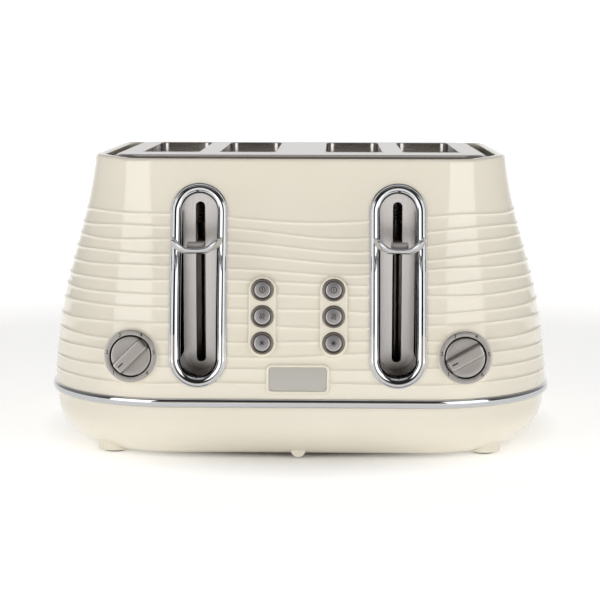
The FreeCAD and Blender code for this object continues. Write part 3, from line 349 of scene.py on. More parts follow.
def cover_points():
    """The whole closed wall: outside rows, a quarter circle over the rim, inside rows down to the lower
    edge. Each outline shrinks by the lean; the rim dips a little in the middle of front and back."""
    height, proud = outer_rows()
    inwards, up = arc(RIM_ROUND, 0, 90, 7)
    rim_in = np.concatenate([RIM_ROUND - inwards[1:], [3.2, 4.3, 4.76, 5.14, 5.4, RIM_WIDE, RIM_WIDE], [WALL] * 6])
    rim_up = np.concatenate([up[1:] - RIM_ROUND, [0.0, 0.0, -0.35, -0.7, -1.0, -1.2, -RIM_THICK],
                             [-RIM_THICK - 0.001, -30, -60, -90, -120, COVER_LOW - COVER_TOP]])
    height = np.vstack([height, rim_up[:, None] + COVER_TOP + np.zeros(height.shape[1])])
    offset = np.concatenate([-proud, rim_in])[:, None]
    inset = lean(height)
    across, up_share, east, north = COVER_COLUMNS
    corner = BAND_CORNER - CORNER_SHRINK * inset
    half_wide, half_deep = BAND_WIDE - inset, BAND_DEEP - inset
    x = across * (half_wide - corner) + (corner - offset) * east
    y = up_share * (half_deep - corner) + (corner - offset) * north
    dips = np.clip((np.abs(north) - 0.3) / 0.6, 0, 1) ** 2 * np.clip((height - SADDLE_START) / SADDLE_RISE, 0, 1) ** 2
    return np.stack([x, y, height - SADDLE_DROP * dips], -1)


cover = piece("body_cover", [skin(cover_points(), ends=False, wrap_rows=True)], "housing",
              cream, ["body_shell"], sharp=40)
print("cover faces", len(cover.data.polygons), "open edges", open_edges(cover))

# %% [markdown]
# The windows for levers, keys and dials are cut straight through the wall with one Boolean, from
# prisms that stand across it. Cutting is right here because the real moulding has these holes too,
# and the edges end up hidden under bezels, pads and bosses.

# %% Cut the windows
LEVER_X, BEZEL_LOW, BEZEL_HIGH, BEZEL_HALF = 61.5, 48.6, 172.6, 17.5
KEY_X, KEY_Y, KEY_Z, KEY_TILT, KEY_PITCH = 21.9, -134.3, 92.0, 11.3, 16.3
DIAL_X, DIAL_Y, DIAL_Z, DIAL_TILT = 102.6, -140.5, 68.0, 6.3
BEZEL_MIDDLE, BEZEL_HALF_TALL = (BEZEL_LOW + BEZEL_HIGH) / 2, (BEZEL_HIGH - BEZEL_LOW) / 2
LEVER_HOLE, KEY_HOLE, KEY_HOLE_TALL, DIAL_HOLE, HOLE_NEAR, HOLE_FAR = 15.3, 6.6, 23.0, 12.9, -150, -90


def prism(columns, half_wide, half_tall, corner, spot, near, far):
    """A straight block along Y from near to far, with a rounded outline in X and Z."""
    rows = stack(columns, half_wide, half_tall, corner, [near, far])
    return skin(np.stack([spot[0] + rows[..., 0], rows[..., 2], spot[1] + rows[..., 1]], -1))


def cut_away(made, cutters):
    """Takes the cutters out of a piece, then tidies its shading."""
    tool = piece("cutter", cutters, "housing", cream)
    cutting = made.modifiers.new("cut", "BOOLEAN")
    cutting.operation, cutting.object, cutting.solver = "DIFFERENCE", tool, "MANIFOLD"
    result = bpy.data.meshes.new_from_object(made.evaluated_get(bpy.context.evaluated_depsgraph_get()))
    if len(result.polygons) < 10:
        cutting.solver = "EXACT"
        result = bpy.data.meshes.new_from_object(made.evaluated_get(bpy.context.evaluated_depsgraph_get()))
    made.modifiers.clear()
    name = made.data.name
    made.data = result
    result.name = name
    result.shade_smooth()
    result.set_sharp_from_angle(angle=math.radians(40))
    bpy.data.objects.remove(tool)
    print(made.name, "after cutting:", len(result.polygons), "faces, open edges", open_edges(made))


windows = []
for _, side in SIDES:
    for half_wide, half_tall, spot in ((LEVER_HOLE, BEZEL_HALF_TALL - 2.2, (side * LEVER_X, BEZEL_MIDDLE)),
                                       (KEY_HOLE, KEY_HOLE_TALL, (side * KEY_X, KEY_Z)),
                                       (DIAL_HOLE, DIAL_HOLE, (side * DIAL_X, DIAL_Z))):
        windows.append(prism(ROUND, half_wide, half_tall, half_wide, spot, HOLE_NEAR, HOLE_FAR))
cut_away(cover, windows)

# %% [markdown]
# ## Pads, bosses and the name plate
# Each row of keys stands on a raised pill with softly rounded edges, and each dial on a round boss
# that swallows the ridges. They are the same cream moulding, so they take the same finish.

# %% Raised pads and dial bosses
def raised(columns, half_wide, half_tall, corner, back, front, edge):
    """A block whose front edge is rounded: straight sides, then a quarter circle into the face."""
    inwards, up = arc(edge, 0, 90, 7)
    height = np.concatenate([[back], front - edge + up])
    inset = np.concatenate([[0.0], edge - inwards])
    return stack(columns, half_wide - inset, half_tall - inset, np.maximum(corner - inset, 0.01), height)


def bored(block, columns, radius):
    """Rows of a block continued down a round bore, so that the two close as a ring."""
    return np.concatenate([block, stack(columns, radius, radius, radius, [block[-1, 0, 2], block[0, 0, 2]])])


PAD_HALF, PAD_TALL, PAD_BACK, PAD_FRONT, PAD_EDGE, KEY_BORE = 8.65, 25.0, -3.5, 1.8, 1.3, 5.3
BOSS_RADIUS, BOSS_BACK, BOSS_FRONT, BOSS_EDGE = 16.9, -15.0, -1.6, 0.9


for name, side in SIDES:
    spot = (side * KEY_X, KEY_Y, KEY_Z)
    pad = raised(path_columns(2, 14, 10), PAD_HALF, PAD_TALL, PAD_HALF, PAD_BACK, PAD_FRONT, PAD_EDGE)
    made = piece(f"key_pad_{name}", [skin(facing(pad, spot, KEY_TILT))], "housing", cream)
    bore = stack(ROUND, KEY_BORE, KEY_BORE, KEY_BORE, [-9.0, 5.0])
    cut_away(made, [skin(facing(bore + np.array([0, step * KEY_PITCH, 0]), spot, KEY_TILT)) for step in (-1, 0, 1)])
    boss = bored(raised(ROUND, BOSS_RADIUS, BOSS_RADIUS, BOSS_RADIUS, BOSS_BACK, BOSS_FRONT, BOSS_EDGE),
                 ROUND, DIAL_HOLE)
    boss = facing(boss, (side * DIAL_X, DIAL_Y, DIAL_Z), DIAL_TILT)
    piece(f"dial_boss_{name}", [skin(boss, ends=False, wrap_rows=True)], "housing", cream)

# %% The name plate, left blank
BADGE = ((0, -139.27, 54.0), 4.2)  # its place and how far it tilts up
BADGE_HALF, BADGE_TALL, BADGE_CORNER, BADGE_LIP = 19.75, 9.35, 4.0, 1.3
plate_columns = path_columns(6, 8, 4)
inwards, up = arc(BADGE_LIP, 0, 90, 6)
inner_in, inner_up = arc(0.7, 90, 0, 5)
frame_in = np.concatenate([[0], BADGE_LIP - inwards, BADGE_LIP + inner_in, [2.0, 2.0]])
frame_out = np.concatenate([[-2.0], 0.3 + up, 0.9 + inner_up, [0.2, -2.0]])
rows = stack(plate_columns, BADGE_HALF - frame_in, BADGE_TALL - frame_in,
             np.maximum(BADGE_CORNER - frame_in, 1.2), frame_out)
piece("badge_frame", [skin(facing(rows, *BADGE), ends=False, wrap_rows=True)], "housing", cream)
plate = raised(plate_columns, BADGE_HALF - 2.0, BADGE_TALL - 2.0, 2.0, -1.2, 0.75, 0.25)
piece("badge_face", [skin(facing(plate, *BADGE))], "housing", nameplate, ["badge_plate"])

# %% [markdown]
# ## The base and the chrome band
# Under the band the base curves in to a flat bottom, along a power curve that starts upright. The
# trays slide in through two mouths at the back, where the mains gland sits too.

# %% Base
BASE_STEP, BASE_CURVE, BASE_POWER, BASE_BEND, BASE_DROP, BASE_TOP = 3.5, 21.5, 2.37, 31.0, 28.0, 36.0
TRAY_MIDDLE, TRAY_HALF, TRAY_LEVEL, GLAND_RADIUS, GLAND_LEVEL = 56.0, 41.8, 18.0, 6.0, 19.0
VENT_COUNT, VENT_PITCH, VENT_HALF, VENT_LONG, VENT_Y = 11, 10.0, 1.5, 11.0, -82.0
BEAD_HALF, BEAD_POWER, BEAD_LEVEL = 2.9, 0.7, 38.9


def base_rows():
    """Outer rows from the flat bottom up to the band, then the inside back down to the floor."""
    share = np.linspace(1, 0, 22)
    inset = BASE_STEP + BASE_CURVE * share ** BASE_POWER
    height = BASE_BEND - BASE_DROP * share
    within = share[::-1] * 0.91
    inner = BASE_STEP + WALL + BASE_CURVE * within ** BASE_POWER
    inner_height = BASE_BEND - BASE_DROP * within
    inset = np.concatenate([[26.4], inset, [BASE_STEP, BASE_STEP + WALL], inner])
    height = np.concatenate([[BASE_BEND - BASE_DROP], height, [BASE_TOP, BASE_TOP], inner_height])
    return stack(path_columns(30, 30, 20), BAND_WIDE - inset, BAND_DEEP - inset, BAND_CORNER - inset, height)


base = piece("base_shell", [skin(base_rows())], "housing", cream, ["base_moulding"], sharp=40)
openings = [prism(SMALL, TRAY_HALF + 0.6, 5.6, 1.0, (side * TRAY_MIDDLE, TRAY_LEVEL), 100, 160) for _, side in SIDES]
openings.append(prism(ROUND, GLAND_RADIUS, GLAND_RADIUS, GLAND_RADIUS, (0, GLAND_LEVEL), 100, 160))
for step in range(VENT_COUNT):
    across = VENT_PITCH * (step - (VENT_COUNT - 1) / 2)
    openings.append(skin(stack(SMALL, VENT_HALF, VENT_LONG, 1.4, [1.0, 8.0]) + np.array([across, VENT_Y, 0])))
cut_away(base, openings)

# %% Chrome band
turn = np.radians(np.arange(0, 360, 15))
bead_out = np.sign(np.cos(turn)) * np.abs(np.cos(turn)) ** BEAD_POWER * BEAD_HALF
bead_up = np.sign(np.sin(turn)) * np.abs(np.sin(turn)) ** BEAD_POWER * BEAD_HALF
inset = BEAD_HALF - bead_out
rows = stack(path_columns(30, 40, 20), BAND_WIDE - inset, BAND_DEEP - inset, BAND_CORNER - inset, BEAD_LEVEL + bead_up)
piece("chrome_band", [skin(rows, ends=False, wrap_rows=True)], "housing", chrome, ["trim_band"])

# %% Feet
for name, finish in (("feet", cream), ("foot_pads", rubber), ("base_screws", plated)):
    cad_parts[name].data.materials.clear()
    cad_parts[name].data.materials.append(finish)

# %% [markdown]
# ## The steel deck
# The deck is a pan of brushed steel turned over: its edge rolls down into a trough inside the rim.
# Every slot has its own folded lip that goes down into the body.

# %% Deck and slot lips
DECK_TOP, DECK_MIDDLE, DECK_DEEP, DECK_WIDE = 188.6, 6.0, 92.0, 119.4
SLOT_X, SLOT_Y, SLOT_HALF, SLOT_LONG = (34.75, 85.1), 15.0, 18.7, 66.0
DECK_LOW, DECK_ROLL, DECK_INNER_ROLL, DECK_CORNER, SLOT_CORNER, SLOT_PLAY = 180.0, 3.0, 2.0, 20, 6.0, 0.3
slot_places = [np.array([across, SLOT_Y, 0]) for across in (-SLOT_X[1], -SLOT_X[0], SLOT_X[0], SLOT_X[1])]
deck_columns = path_columns(16, 14, 12)


def deck_rows(inset, height):
    """Level outlines of the deck, each smaller by its inset."""
    return stack(deck_columns, DECK_WIDE - inset, DECK_DEEP - inset, DECK_CORNER - inset, height)


def rolled(radius, count, foot):
    """Insets and heights of an edge that stands up from the deck's foot and rolls in by a quarter circle."""
    inwards, up = arc(radius, 0, 90, count)
    return (np.concatenate([[foot], DECK_ROLL - inwards]), np.concatenate([[DECK_LOW], DECK_TOP - DECK_ROLL + up]))


outside = deck_rows(*rolled(DECK_ROLL, 9, 0.0))
inside = deck_rows(*rolled(DECK_INNER_ROLL, 6, 1.0))
pan = np.concatenate([inside[::-1], outside])
pan[..., 1] += DECK_MIDDLE
deck = piece("deck_pan", [skin(pan)], "housing", deck_steel, ["top_plate"], sharp=40)
slot_outline = path_columns(4, 6, 8)
slot = stack(slot_outline, SLOT_HALF + SLOT_PLAY, SLOT_LONG + SLOT_PLAY, SLOT_CORNER + SLOT_PLAY, [170, 200])
cut_away(deck, [skin(slot + place) for place in slot_places])

# %% Slot lips and the seal round the deck
lip_in, lip_up = arc(0.6, 180, 0, 8)
lip_off = np.concatenate([[-1.0], lip_in - 0.4, [0.2]])
lip_height = np.concatenate([[175.0], DECK_TOP - 0.40 + lip_up, [175.0]])
rows = stack(slot_outline, SLOT_HALF - lip_off, SLOT_LONG - lip_off, SLOT_CORNER - lip_off * 0.5, lip_height)
lips = [skin(rows + place, ends=False, wrap_rows=True) for place in slot_places]
piece("slot_lips", lips, "housing", deck_steel)
# the seal shows only as a dark band in the gap round the deck: its dark brown is painted shade
seal_off = np.array([0.4, -1.6, -1.6, -1.1, 0.4])
rows = deck_rows(seal_off, [DECK_LOW, DECK_LOW, 186.6, 187.1, 187.1])
piece("deck_seal", [skin(rows + np.array([0, DECK_MIDDLE, 0]), ends=False, wrap_rows=True)], "housing",
      gap_shade_brown)

# %% [markdown]
# ## Lever bezels
# Each lever runs in a deep chrome cup. A thin step sits on the cover, a fat half-round rim rises
# from it, and a straight wall then drops to the brushed plate. The section is the same all round,
# but its front follows the leaning cover, so the cup gets deeper towards the bottom.

# %% Bezel cups
PLATE_FRONT, CUP_WALL = -108.0, 0.9
RIM_ROLL, ROLL_START, ROLL_PROUD = 4.25, 2.35, 2.1  # radius of the rim, its crest's inset, and how proud it is
slot_columns = path_columns(1, 26, 36)


def cover_front(height):
    """Y of the cover's front at a height."""
    return -(BAND_DEEP - lean(height))


def bezel_points():
    """Rows across the section, columns round the slot shape. A step, then a small arc up to the crest and a
    quarter circle down from it, then a straight wall that shares out the way to the plate."""
    step_in = np.array([0.0, 0.0, 0.12, 0.4, 0.9, 1.15, 1.25, 1.35])
    step_out = np.array([-1.2, 1.0, 1.28, 1.4, 1.4, 1.25, 1.3, 1.7])
    turn = np.radians(np.concatenate([np.linspace(-50, 0, 5), np.linspace(7, 90, 16)]))
    radius = np.where(turn < 0, 1.0, RIM_ROLL)
    roll_in, roll_out = ROLL_START + radius * np.sin(turn), ROLL_PROUD - radius * (1 - np.cos(turn))
    depth = np.linspace(0, 1, 5)[1:]
    inset = np.concatenate([step_in, roll_in, np.full(depth.shape, ROLL_START + RIM_ROLL)])
    flat = outline(slot_columns, BEZEL_HALF - inset, BEZEL_HALF_TALL - inset, BEZEL_HALF - inset)
    x, z = flat[..., 0], flat[..., 1] + BEZEL_MIDDLE
    front = cover_front(z)
    proud = np.concatenate([step_out, roll_out, np.full(depth.shape, roll_out[-1])])[:, None]
    share = np.concatenate([np.zeros(len(step_in) + len(roll_in)), depth])[:, None]
    y = (front - proud) * (1 - share) + PLATE_FRONT * share
    return np.stack([x, y, z], -1)


def cup(side):
    """The shown face of the cup and its back, closed into one thin shell."""
    face = bezel_points()
    back = face[::-1].copy()
    back[..., 1] += CUP_WALL
    back[-1] = face[0]
    rows = np.concatenate([face, back])
    rows[..., 0] += side * LEVER_X
    return skin(rows, ends=False, wrap_rows=True)


for name, side in SIDES:
    piece(f"bezel_cup_{name}", [cup(side)], "housing", chrome, [f"lever_bezel_{name}"], sharp=50)

# %% Slotted plates
def slotted_plate(side):
    """A ring between two round-ended outlines: the plate's edge and its lever slot, with a soft edge."""
    plate_in = np.array([12.6, 12.6, 12.6, 3.0, 2.8, 2.8, 2.8, 12.6])
    plate_tall = np.array([57.6, 57.6, 57.6, 50.65, 50.45, 50.45, 50.45, 57.6])
    middle = np.array([110.6, 110.6, 110.6, 109.95, 109.95, 109.95, 109.95, 110.6])
    out = np.array([107.0, 107.5, 108.05, 108.05, 107.85, 107.4, 107.0, 107.0])
    flat = outline(slot_columns, plate_in, plate_tall, plate_in)
    y = np.broadcast_to(-out[:, None], flat.shape[:2])
    rows = np.stack([flat[..., 0] + side * LEVER_X, y, flat[..., 1] + middle[:, None]], -1)
    return skin(rows, ends=False)


for name, side in SIDES:
    piece(f"slot_face_{name}", [slotted_plate(side)], "housing", brushed, [f"slot_plate_{name}"])

# %% [markdown]
# ## Finger scoops
# The knob is a chrome scoop: its lip is low in the middle of the front and climbs to two horns at
# the sides. Its section is a thick rounded lip around a shallow hollow, carried round a D-shaped
# path. A steel sleeve joins it to the arm that comes out of the slot.

# %% Scoops and sleeves
SCOOP_HALF, SCOOP_DEEP, SCOOP_Y, SCOOP_FLOOR = 15.9, 17.0, -142.0, 134.1
SCOOP_LOW, SCOOP_LOW_RISE, LIP_LOW, LIP_RISE, LIP_REACH = 132.7, 2.2, 136.2, 5.4, 13.0
SLEEVE_HALF, SLEEVE_TOP, STEM_HALF, STEM_TOP = 5.2, 139.2, 2.3, 136.6


def scoop(side):
    """A superellipse from the left horn round the front to the right horn. The section climbs the outside,
    crosses the lip and drops into the hollow; lip and underside rise with a power of the distance across."""
    swing = np.pi * (1 - np.linspace(0, 1, 121))
    x = -SCOOP_HALF * np.sign(np.cos(swing)) * np.abs(np.cos(swing)) ** 0.62
    y = -SCOOP_DEEP * np.abs(np.sin(swing)) ** 0.72
    ahead = np.gradient(np.stack([x, y], -1), axis=0)
    ahead /= np.linalg.norm(ahead, axis=1)[:, None]
    inward = np.stack([-ahead[:, 1], ahead[:, 0]], -1)
    inward *= np.where((inward * np.stack([x, y + 6], -1)).sum(1) > 0, -1, 1)[:, None]
    lip = LIP_LOW + LIP_RISE * np.clip(np.abs(x) / LIP_REACH, 0, 1) ** 2.4
    low = SCOOP_LOW + SCOOP_LOW_RISE * (np.abs(x) / SCOOP_HALF) ** 3
    off = np.array([5.4, 3.9, 2.6, 1.5, 0.7, 0.2, 0.0, 0.05, 0.35, 0.9, 1.6, 2.3, 2.9, 3.3, 3.7, 4.6])
    share = np.array([0, 0.03, 0.11, 0.24, 0.42, 0.62, 0.8, 0.9, 0.97, 1.0, 1.0, 0.96, 0.84, 0.64, 0.46, 0.38])
    height = low + (lip - low) * share[:, None]
    px = x[None, :] + inward[None, :, 0] * off[:, None]
    py = y[None, :] + inward[None, :, 1] * off[:, None]
    return np.stack([px + side * LEVER_X, np.minimum(py, -0.02) + SCOOP_Y, height], -1)


def half_bowl(side):
    """Closes the scoop: the lip strip, its floor and underside fanned to the middle, and both ends."""
    rows = scoop(side)
    middle = np.array([side * LEVER_X, -146.0, 0.0])
    under, floor, inner = rows[0] * 0.0 + middle, rows[0] * 0.0 + middle, rows[-1].copy()
    under[:, 2], floor[:, 2], inner[:, 2] = SCOOP_LOW, SCOOP_FLOOR, SCOOP_FLOOR
    grid = np.concatenate([[under], rows, [inner], [floor]])
    points, faces = skin(grid, ends=False, wrap_columns=False)
    count, columns = grid.shape[:2]
    faces.append([row * columns for row in range(count)])
    faces.append([row * columns + columns - 1 for row in range(count)][::-1])
    return points, faces


def bar(low, high, edge=0.7):
    """A box from one corner to another with every upright and level edge rounded off."""
    low, high = np.array(low, float), np.array(high, float)
    middle, half = (low + high) / 2, (high - low) / 2
    inwards, up = arc(edge, 0, 90, 5)
    height = np.concatenate([-(half[2] - edge + up)[::-1], half[2] - edge + up])
    inset = np.concatenate([(edge - inwards)[::-1], edge - inwards])
    rows = stack(SMALL, half[0] - inset, half[1] - inset, np.maximum(edge - inset, 0.02), height)
    return skin(rows + middle)


for name, side in SIDES:
    x = side * LEVER_X
    piece(f"finger_scoop_{name}", [half_bowl(side)], f"carriage_{name}", chrome,
          [f"lever_knob_{name}"], sharp=45)
    sleeve = [bar((x - SLEEVE_HALF, -150.0, 133.6), (x + SLEEVE_HALF, -144.5, SLEEVE_TOP)),
              bar((x - STEM_HALF, -146.0, 132.8), (x + STEM_HALF, -110.5, STEM_TOP))]
    piece(f"lever_sleeve_{name}", sleeve, f"carriage_{name}", satin)

# %% [markdown]
# ## Browning dials
# A satin ring carries the numbers 1 to 6; the knob inside it is a shallow disc with a raised bar
# grip. Numbers are font outlines turned into meshes and laid on the ring, so they stay crisp.

# %% Rings and numbers
def ring(outer, inner, back, front, edge, columns=ROUND):
    """A flat washer with its outer and inner front edges rounded."""
    inwards, up = arc(edge, 0, 90, 5)
    radius = np.concatenate([[outer], outer - edge + inwards, (inner + edge - inwards)[::-1], [inner]])
    height = np.concatenate([[back], front - edge + up, (front - edge + up)[::-1], [back]])
    return stack(columns, radius, radius, radius, height)


def lettering(name, text, size, spin_radius, angle):
    """Text as a thin mesh, centred at an angle clockwise from the top of a circle, in mm on its own plane."""
    curve = bpy.data.curves.new(name, "FONT")
    curve.body, curve.size, curve.extrude, curve.offset = text, size, 0.05, 0.03
    curve.align_x, curve.align_y = "CENTER", "CENTER"
    curve.resolution_u = 3
    holder = bpy.data.objects.new(name, curve)
    bpy.context.scene.collection.objects.link(holder)
    bpy.context.view_layer.update()
    mesh = bpy.data.meshes.new_from_object(holder.evaluated_get(bpy.context.evaluated_depsgraph_get()))
    points = np.zeros(len(mesh.vertices) * 3)
    mesh.vertices.foreach_get("co", points)
    faces = [list(face.vertices) for face in mesh.polygons]
    bpy.data.objects.remove(holder)
    bpy.data.meshes.remove(mesh)
    points = points.reshape(-1, 3)
    swing = math.radians(angle)
    points[:, 0] += spin_radius * math.sin(swing)
    points[:, 1] += spin_radius * math.cos(swing)
    return points, faces


RING_RADIUS, NUMBER_SIZE, NUMBER_RADIUS, NUMBER_FIRST, NUMBER_STEP = 16.2, 3.5, 14.5, -134.5, 53.8
dial_columns = path_columns(1, 24, 1)
for name, side in SIDES:
    spot = (side * DIAL_X, DIAL_Y, DIAL_Z)
    washer = facing(ring(RING_RADIUS, DIAL_HOLE, -2.5, 0.0, 0.45, dial_columns), spot, DIAL_TILT)
    piece(f"dial_scale_{name}", [skin(washer, ends=False, wrap_rows=True)], "housing", satin,
          [f"dial_ring_{name}"])
    marks = []
    for count in range(6):
        angle = NUMBER_FIRST + NUMBER_STEP * count
        points, faces = lettering("number", str(count + 1), NUMBER_SIZE, NUMBER_RADIUS, angle)
        points[:, 2] += 0.06
        marks.append((facing(points, spot, DIAL_TILT), faces))
    piece(f"dial_numbers_{name}", marks, "housing", ink)
    radius = np.array([DIAL_HOLE, DIAL_HOLE, 0.01, 0.01, DIAL_HOLE - 0.2])
    well = stack(dial_columns, radius, radius, radius, [-0.6, -5.0, -5.0, -5.4, -5.4])
    piece(f"dial_well_{name}", [skin(facing(well, spot, DIAL_TILT), ends=False, wrap_rows=True)], "housing",
          black)

# %% Knobs
DISC_RADIUS, DISC_EDGE, GRIP_TOP = 12.2, 0.7, 6.0


def dial_disc():
    """The disc: upright side, small round edge, then a face dished by a fraction of a millimetre."""
    inwards, up = arc(DISC_EDGE, 0, 90, 6)
    radius = np.concatenate([[DISC_RADIUS], DISC_RADIUS - DISC_EDGE + inwards, [9.0, 6.0, 3.0, 0.02]])
    height = np.concatenate([[-4.0], -1.1 + up, [-0.5, -0.55, -0.6, -0.6]])
    return stack(dial_columns, radius, radius, radius, height)


def grip_bar():
    """The bar grip: it widens to its foot, its long edges are crisp, and its ends follow the disc."""
    columns = path_columns(8, 10, 20)
    height = np.array([-1.0, 0.4, 2.0, 4.6, 5.55, 5.85, GRIP_TOP, GRIP_TOP])
    half_wide = np.array([4.6, 4.3, 3.95, 3.6, 3.45, 3.25, 2.9, 2.4])
    half_long = np.array([11.7, 11.6, 11.5, 11.3, 11.2, 11.0, 10.6, 10.0])
    return stack(columns, half_wide, half_long, np.minimum(half_wide * 0.45, 1.4), height)


TURNS = {"left": -134.5, "right": -119.0}
for name, side in SIDES:
    spot = (side * DIAL_X, DIAL_Y, DIAL_Z)
    knob = skin(facing(dial_disc(), spot, DIAL_TILT))
    grip = skin(facing(grip_bar(), spot, DIAL_TILT, TURNS[name]))
    piece(f"dial_turner_{name}", [knob, grip], f"dial_{name}", satin, [f"dial_knob_{name}"], sharp=24)
    notch = raised(SMALL, 0.45, 2.0, 0.4, -0.2, 0.12, 0.1) + np.array([0, 7.6, GRIP_TOP])
    piece(f"dial_pointer_{name}", [skin(facing(notch, spot, DIAL_TILT, TURNS[name]))], f"dial_{name}",
          ink)

# %% [markdown]
# ## Keys
# Three domed caps sit in dark rings on each pad. Their marks are plain signs for stop, reheat and
# defrost: a bar in a ring, three waves and a snow star, laid on as thin print.

# %% Rings and caps
CAP_RADIUS, CAP_SHOULDER, CAP_LOW, CAP_SIDE_TOP, CAP_FACE = 5.1, 0.9, -4.0, 2.1, 3.17
SIGN_LINE, STOP_RADIUS, STOP_BAR, WAVE_REACH, WAVE_SWING, WAVE_GAP, STAR_REACH = 0.42, 1.75, 0.95, 1.8, 0.38, 1.05, 2.0


def cap_rows():
    """A cap: upright side, round shoulder and a face that domes by a fraction of a millimetre."""
    inwards, up = arc(CAP_SHOULDER, 0, 90, 6)
    radius = np.concatenate([[CAP_RADIUS], CAP_RADIUS - CAP_SHOULDER + inwards, [2.8, 1.4, 0.02]])
    height = np.concatenate([[CAP_LOW], CAP_SIDE_TOP + up, [3.12, 3.18, 3.2]])
    return stack(ROUND, radius, radius, radius, height)


def stroke(points, width, thick=0.08, closed=False):
    """A thin flat ribbon of a width along a line of points in the plane."""
    line = np.asarray(points, float)
    if closed:
        ahead = np.roll(line, -1, 0) - np.roll(line, 1, 0)
    else:
        ahead = np.gradient(line, axis=0)
    ahead /= np.linalg.norm(ahead, axis=1)[:, None]
    across = np.stack([-ahead[:, 1], ahead[:, 0]], -1) * width / 2
    sides = [(line + across, 0), (line - across, 0), (line - across, thick), (line + across, thick)]
    rows = np.stack([np.column_stack([edge, np.full(len(edge), height)]) for edge, height in sides], 1)
    return skin(rows, ends=not closed, wrap_rows=closed, wrap_columns=True)


def stop_sign():
    """A ring of radius STOP_RADIUS with an upright bar in it."""
    turn = np.linspace(0, 2 * np.pi, 28, endpoint=False)
    circle = STOP_RADIUS * np.stack([np.cos(turn), np.sin(turn)], -1)
    return [stroke(circle, SIGN_LINE, closed=True), stroke([(0, -STOP_BAR), (0, STOP_BAR)], 0.5)]


def waves_sign():
    """Three upright sine waves side by side."""
    run = np.linspace(-WAVE_REACH, WAVE_REACH, 16)
    return [stroke(np.stack([offset + WAVE_SWING * np.sin(run * 2.4), run], -1), SIGN_LINE)
            for offset in (-WAVE_GAP, 0.0, WAVE_GAP)]


def star_sign():
    """Four lines through one middle, 45 degrees apart."""
    ends = [STAR_REACH * np.array([math.cos(turn), math.sin(turn)]) for turn in np.radians([0, 45, 90, 135])]
    return [stroke([-end, end], SIGN_LINE) for end in ends]


SIGNS = (("cancel", 1, stop_sign), ("reheat", 0, waves_sign), ("defrost", -1, star_sign))
key_metal = new_finish("key_silver", (0.46, 0.45, 0.455), metallic=0.9, roughness=0.35)
vary_roughness(key_metal, grain(key_metal, 700.0), 0.3, 0.42)
for name, side in SIDES:
    spot = (side * KEY_X, KEY_Y, KEY_Z)
    rings = []
    for use, step, sign in SIGNS:
        lift = np.array([0, step * KEY_PITCH, 0])
        collar = facing(ring(7.0, KEY_BORE, 0.6, 2.7, 0.75) + lift, spot, KEY_TILT)
        rings.append(skin(collar, ends=False, wrap_rows=True))
        piece(f"key_cap_{use}_{name}", [skin(facing(cap_rows() + lift, spot, KEY_TILT))], f"key_{use}_{name}",
              key_metal, [f"button_{use}_{name}"], sharp=40)
        on_cap = lift + np.array([0, 0, CAP_FACE])
        marks = [(facing(points + on_cap, spot, KEY_TILT), faces) for points, faces in sign()]
        piece(f"key_sign_{use}_{name}", marks, f"key_{use}_{name}", ink)
    piece(f"key_rings_{name}", rings, "housing", bronze, [f"button_rings_{name}"])

# %% [markdown]
# ## What shows through the slots and from behind
# Inside, the plain steel, mica and wire parts already have the right shape, so they keep it and
# only get their finishes.

# %% Finishes for the parts that keep their shape
KEPT = {
    # the top collar is a real part, and its dark brown is painted shade for the gap between rim and deck
    "top_collar": gap_shade_brown, "cord_gland": black, "terminal_block": black, "tray_rails": cream,
    "bulkhead_front": plated, "bulkhead_rear": plated, "side_shields": plated, "front_shelf": plated,
    "board_posts": cream,
}
PAIRED = {
    "heater_cards": mica, "heater_wires": ribbon, "carriage": plated, "bread_racks": plated,
    "guide_rod": plated, "latch_magnet": copper, "timer": black, "control_board": board,
    "crumb_tray": deck_steel, "lift_spring": springs,
}
for name, _ in SIDES:
    for label, finish in PAIRED.items():
        KEPT[f"{label}_{name}"] = finish
    for letter in "ab":
        KEPT[f"bread_guides_{name}_{letter}"] = plated
for label, finish in KEPT.items():
    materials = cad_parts[label].data.materials
    materials.clear()
    materials.append(finish)
print("kept nodes:", len(KEPT) + 3)

# %% [markdown]
# ## Studio
# A white table stands in a room that is dark in front and white behind; the table's glow is painted light, and its dark
# spot under the toaster is a painted shadow. Tall soft boxes left and right draw the long pale reflections near the
# front corners, a weaker one hangs overhead, and a low warm card in front puts some tan into the chrome.

# %% Table and room
def set_ramp(node, stops):
    """Grey stops of a colour ramp, each a position and a level."""
    while len(node.color_ramp.elements) < len(stops):
        node.color_ramp.elements.new(0.5)
    for element, (position, level) in zip(node.color_ramp.elements, stops):
        element.position, element.color = position, (level, level * 0.995, level * 0.985, 1)


def stage_plane(name, size, height):
    """The white table: a matt sheet with a painted glow that grows with distance, so that it stays white far from the
    lamps, and no glow under the toaster, which paints its shadow there."""
    mesh = bpy.data.meshes.new(name)
    corners = np.array([(-1, -1, 0), (1, -1, 0), (1, 1, 0), (-1, 1, 0)]) * size + np.array([0, 0, height])
    mesh.from_pydata(corners.tolist(), [], [(0, 1, 2, 3)])
    made = bpy.data.objects.new(name, mesh)
    bpy.context.scene.collection.objects.link(made)
    table = new_finish("white_table", (0.9, 0.9, 0.9), roughness=0.9, Specular_IOR_Level=0.1)
    nodes = table.node_tree.nodes
    place, reach, shade = (nodes.new(f"ShaderNode{kind}") for kind in ("TexCoord", "VectorMath", "ValToRGB"))
    reach.operation = "LENGTH"
    set_ramp(shade, TABLE_PAINTED_GLOW)
    join(table, place, "Object", reach, "Vector")
    join(table, reach, "Value", shade, "Fac")
    # painted light: the table's emission glows and lights the toaster from below, and its dark disc under the toaster
    # is a painted shadow
    join(table, shade, "Color", nodes["Principled BSDF"], "Emission Color")
    nodes["Principled BSDF"].inputs["Emission Strength"].default_value = 1.0
    mesh.materials.append(table)
    return made
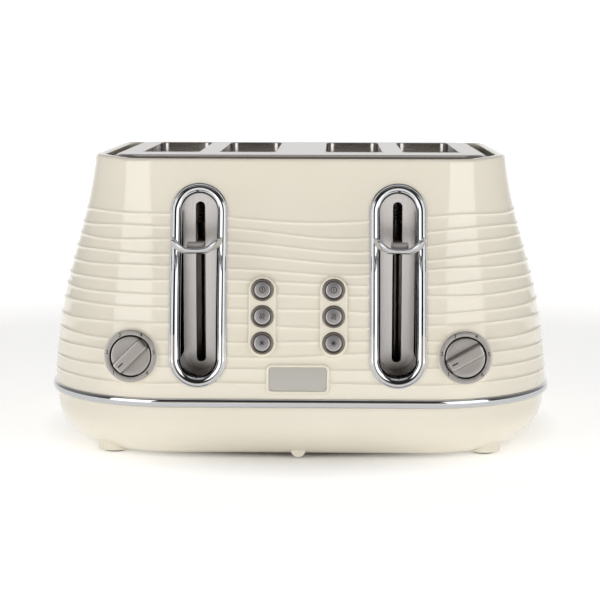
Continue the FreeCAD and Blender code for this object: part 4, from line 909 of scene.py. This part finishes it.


# painted glow that rises with distance from the middle; zero glow under the toaster is a painted shadow
TABLE_PAINTED_GLOW = ((0.11, 0.0), (0.18, 0.52), (0.5, 0.55), (1.0, 0.95))  # distance in metres, and its glow there
ROOM_SHADES = ((0.2, 0.03), (0.5, 0.22), (0.85, 0.34), (0.96, 1.02))  # from the front (0) to the back (1)
stage_plane("table", 12.0, 0.0)
room = bpy.data.worlds.new("room")
room.use_nodes = True
nodes, links = room.node_tree.nodes, room.node_tree.links
heading, parts, reach, shade = (nodes.new(f"ShaderNode{kind}")
                                for kind in ("TexCoord", "SeparateXYZ", "MapRange", "ValToRGB"))
reach.inputs["From Min"].default_value, reach.inputs["From Max"].default_value = -1.0, 1.0
set_ramp(shade, ROOM_SHADES)
links.new(heading.outputs["Generated"], parts.inputs["Vector"])
links.new(parts.outputs["Y"], reach.inputs["Value"])
links.new(reach.outputs["Result"], shade.inputs["Fac"])
links.new(shade.outputs["Color"], nodes["Background"].inputs["Color"])
bpy.context.scene.world = room


# %% Soft boxes
def soft_box(name, spot, target, wide, tall, glow, colour=(1, 1, 1)):
    """A rectangular lamp at a place, turned to face a target; glow is its brightness beside white paper."""
    lamp = bpy.data.lights.new(name, "AREA")
    lamp.shape, lamp.size, lamp.size_y = "RECTANGLE", wide, tall
    lamp.energy, lamp.color = glow * math.pi * wide * tall, colour
    made = bpy.data.objects.new(name, lamp)
    bpy.context.scene.collection.objects.link(made)
    made.location = spot
    made.rotation_euler = (Vector(target) - Vector(spot)).to_track_quat("-Z", "Y").to_euler()
    return made


for name, side in SIDES:
    soft_box(f"{name}_box", (side * 0.855, -1.015, 0.42), (0, -0.1, 0.1), 0.88, 1.0, 2.3)
soft_box("top_box", (0, -0.1, 1.7), (0, 0, 0.1), 1.6, 1.2, 0.5)
soft_box("bench_card", (0, -2.4, 0.22), (0, 0, 0.1), 3.0, 0.42, 0.42, (1.0, 0.84, 0.66))
bpy.context.scene.view_settings.view_transform = "Standard"

# %% Camera
yaw, pitch, roll = 0.0193, 0.1355, 0.0021
ahead = Vector((-math.sin(yaw) * math.cos(pitch), math.cos(yaw) * math.cos(pitch), -math.sin(pitch)))
right = Vector((math.cos(yaw), math.sin(yaw), 0))
above = right.cross(ahead)
lens = bpy.data.cameras.new("lens")
lens.lens, lens.sensor_width = 104.73, 36.0
camera = bpy.data.objects.new("camera", lens)
bpy.context.scene.collection.objects.link(camera)
turned = Matrix((right, above, -ahead)).transposed()
camera.matrix_world = Matrix.Translation((0.02168, -1.19388, 0.24687)) @ turned.to_4x4() @ Matrix.Rotation(roll, 4, "Z")
bpy.context.scene.camera = camera
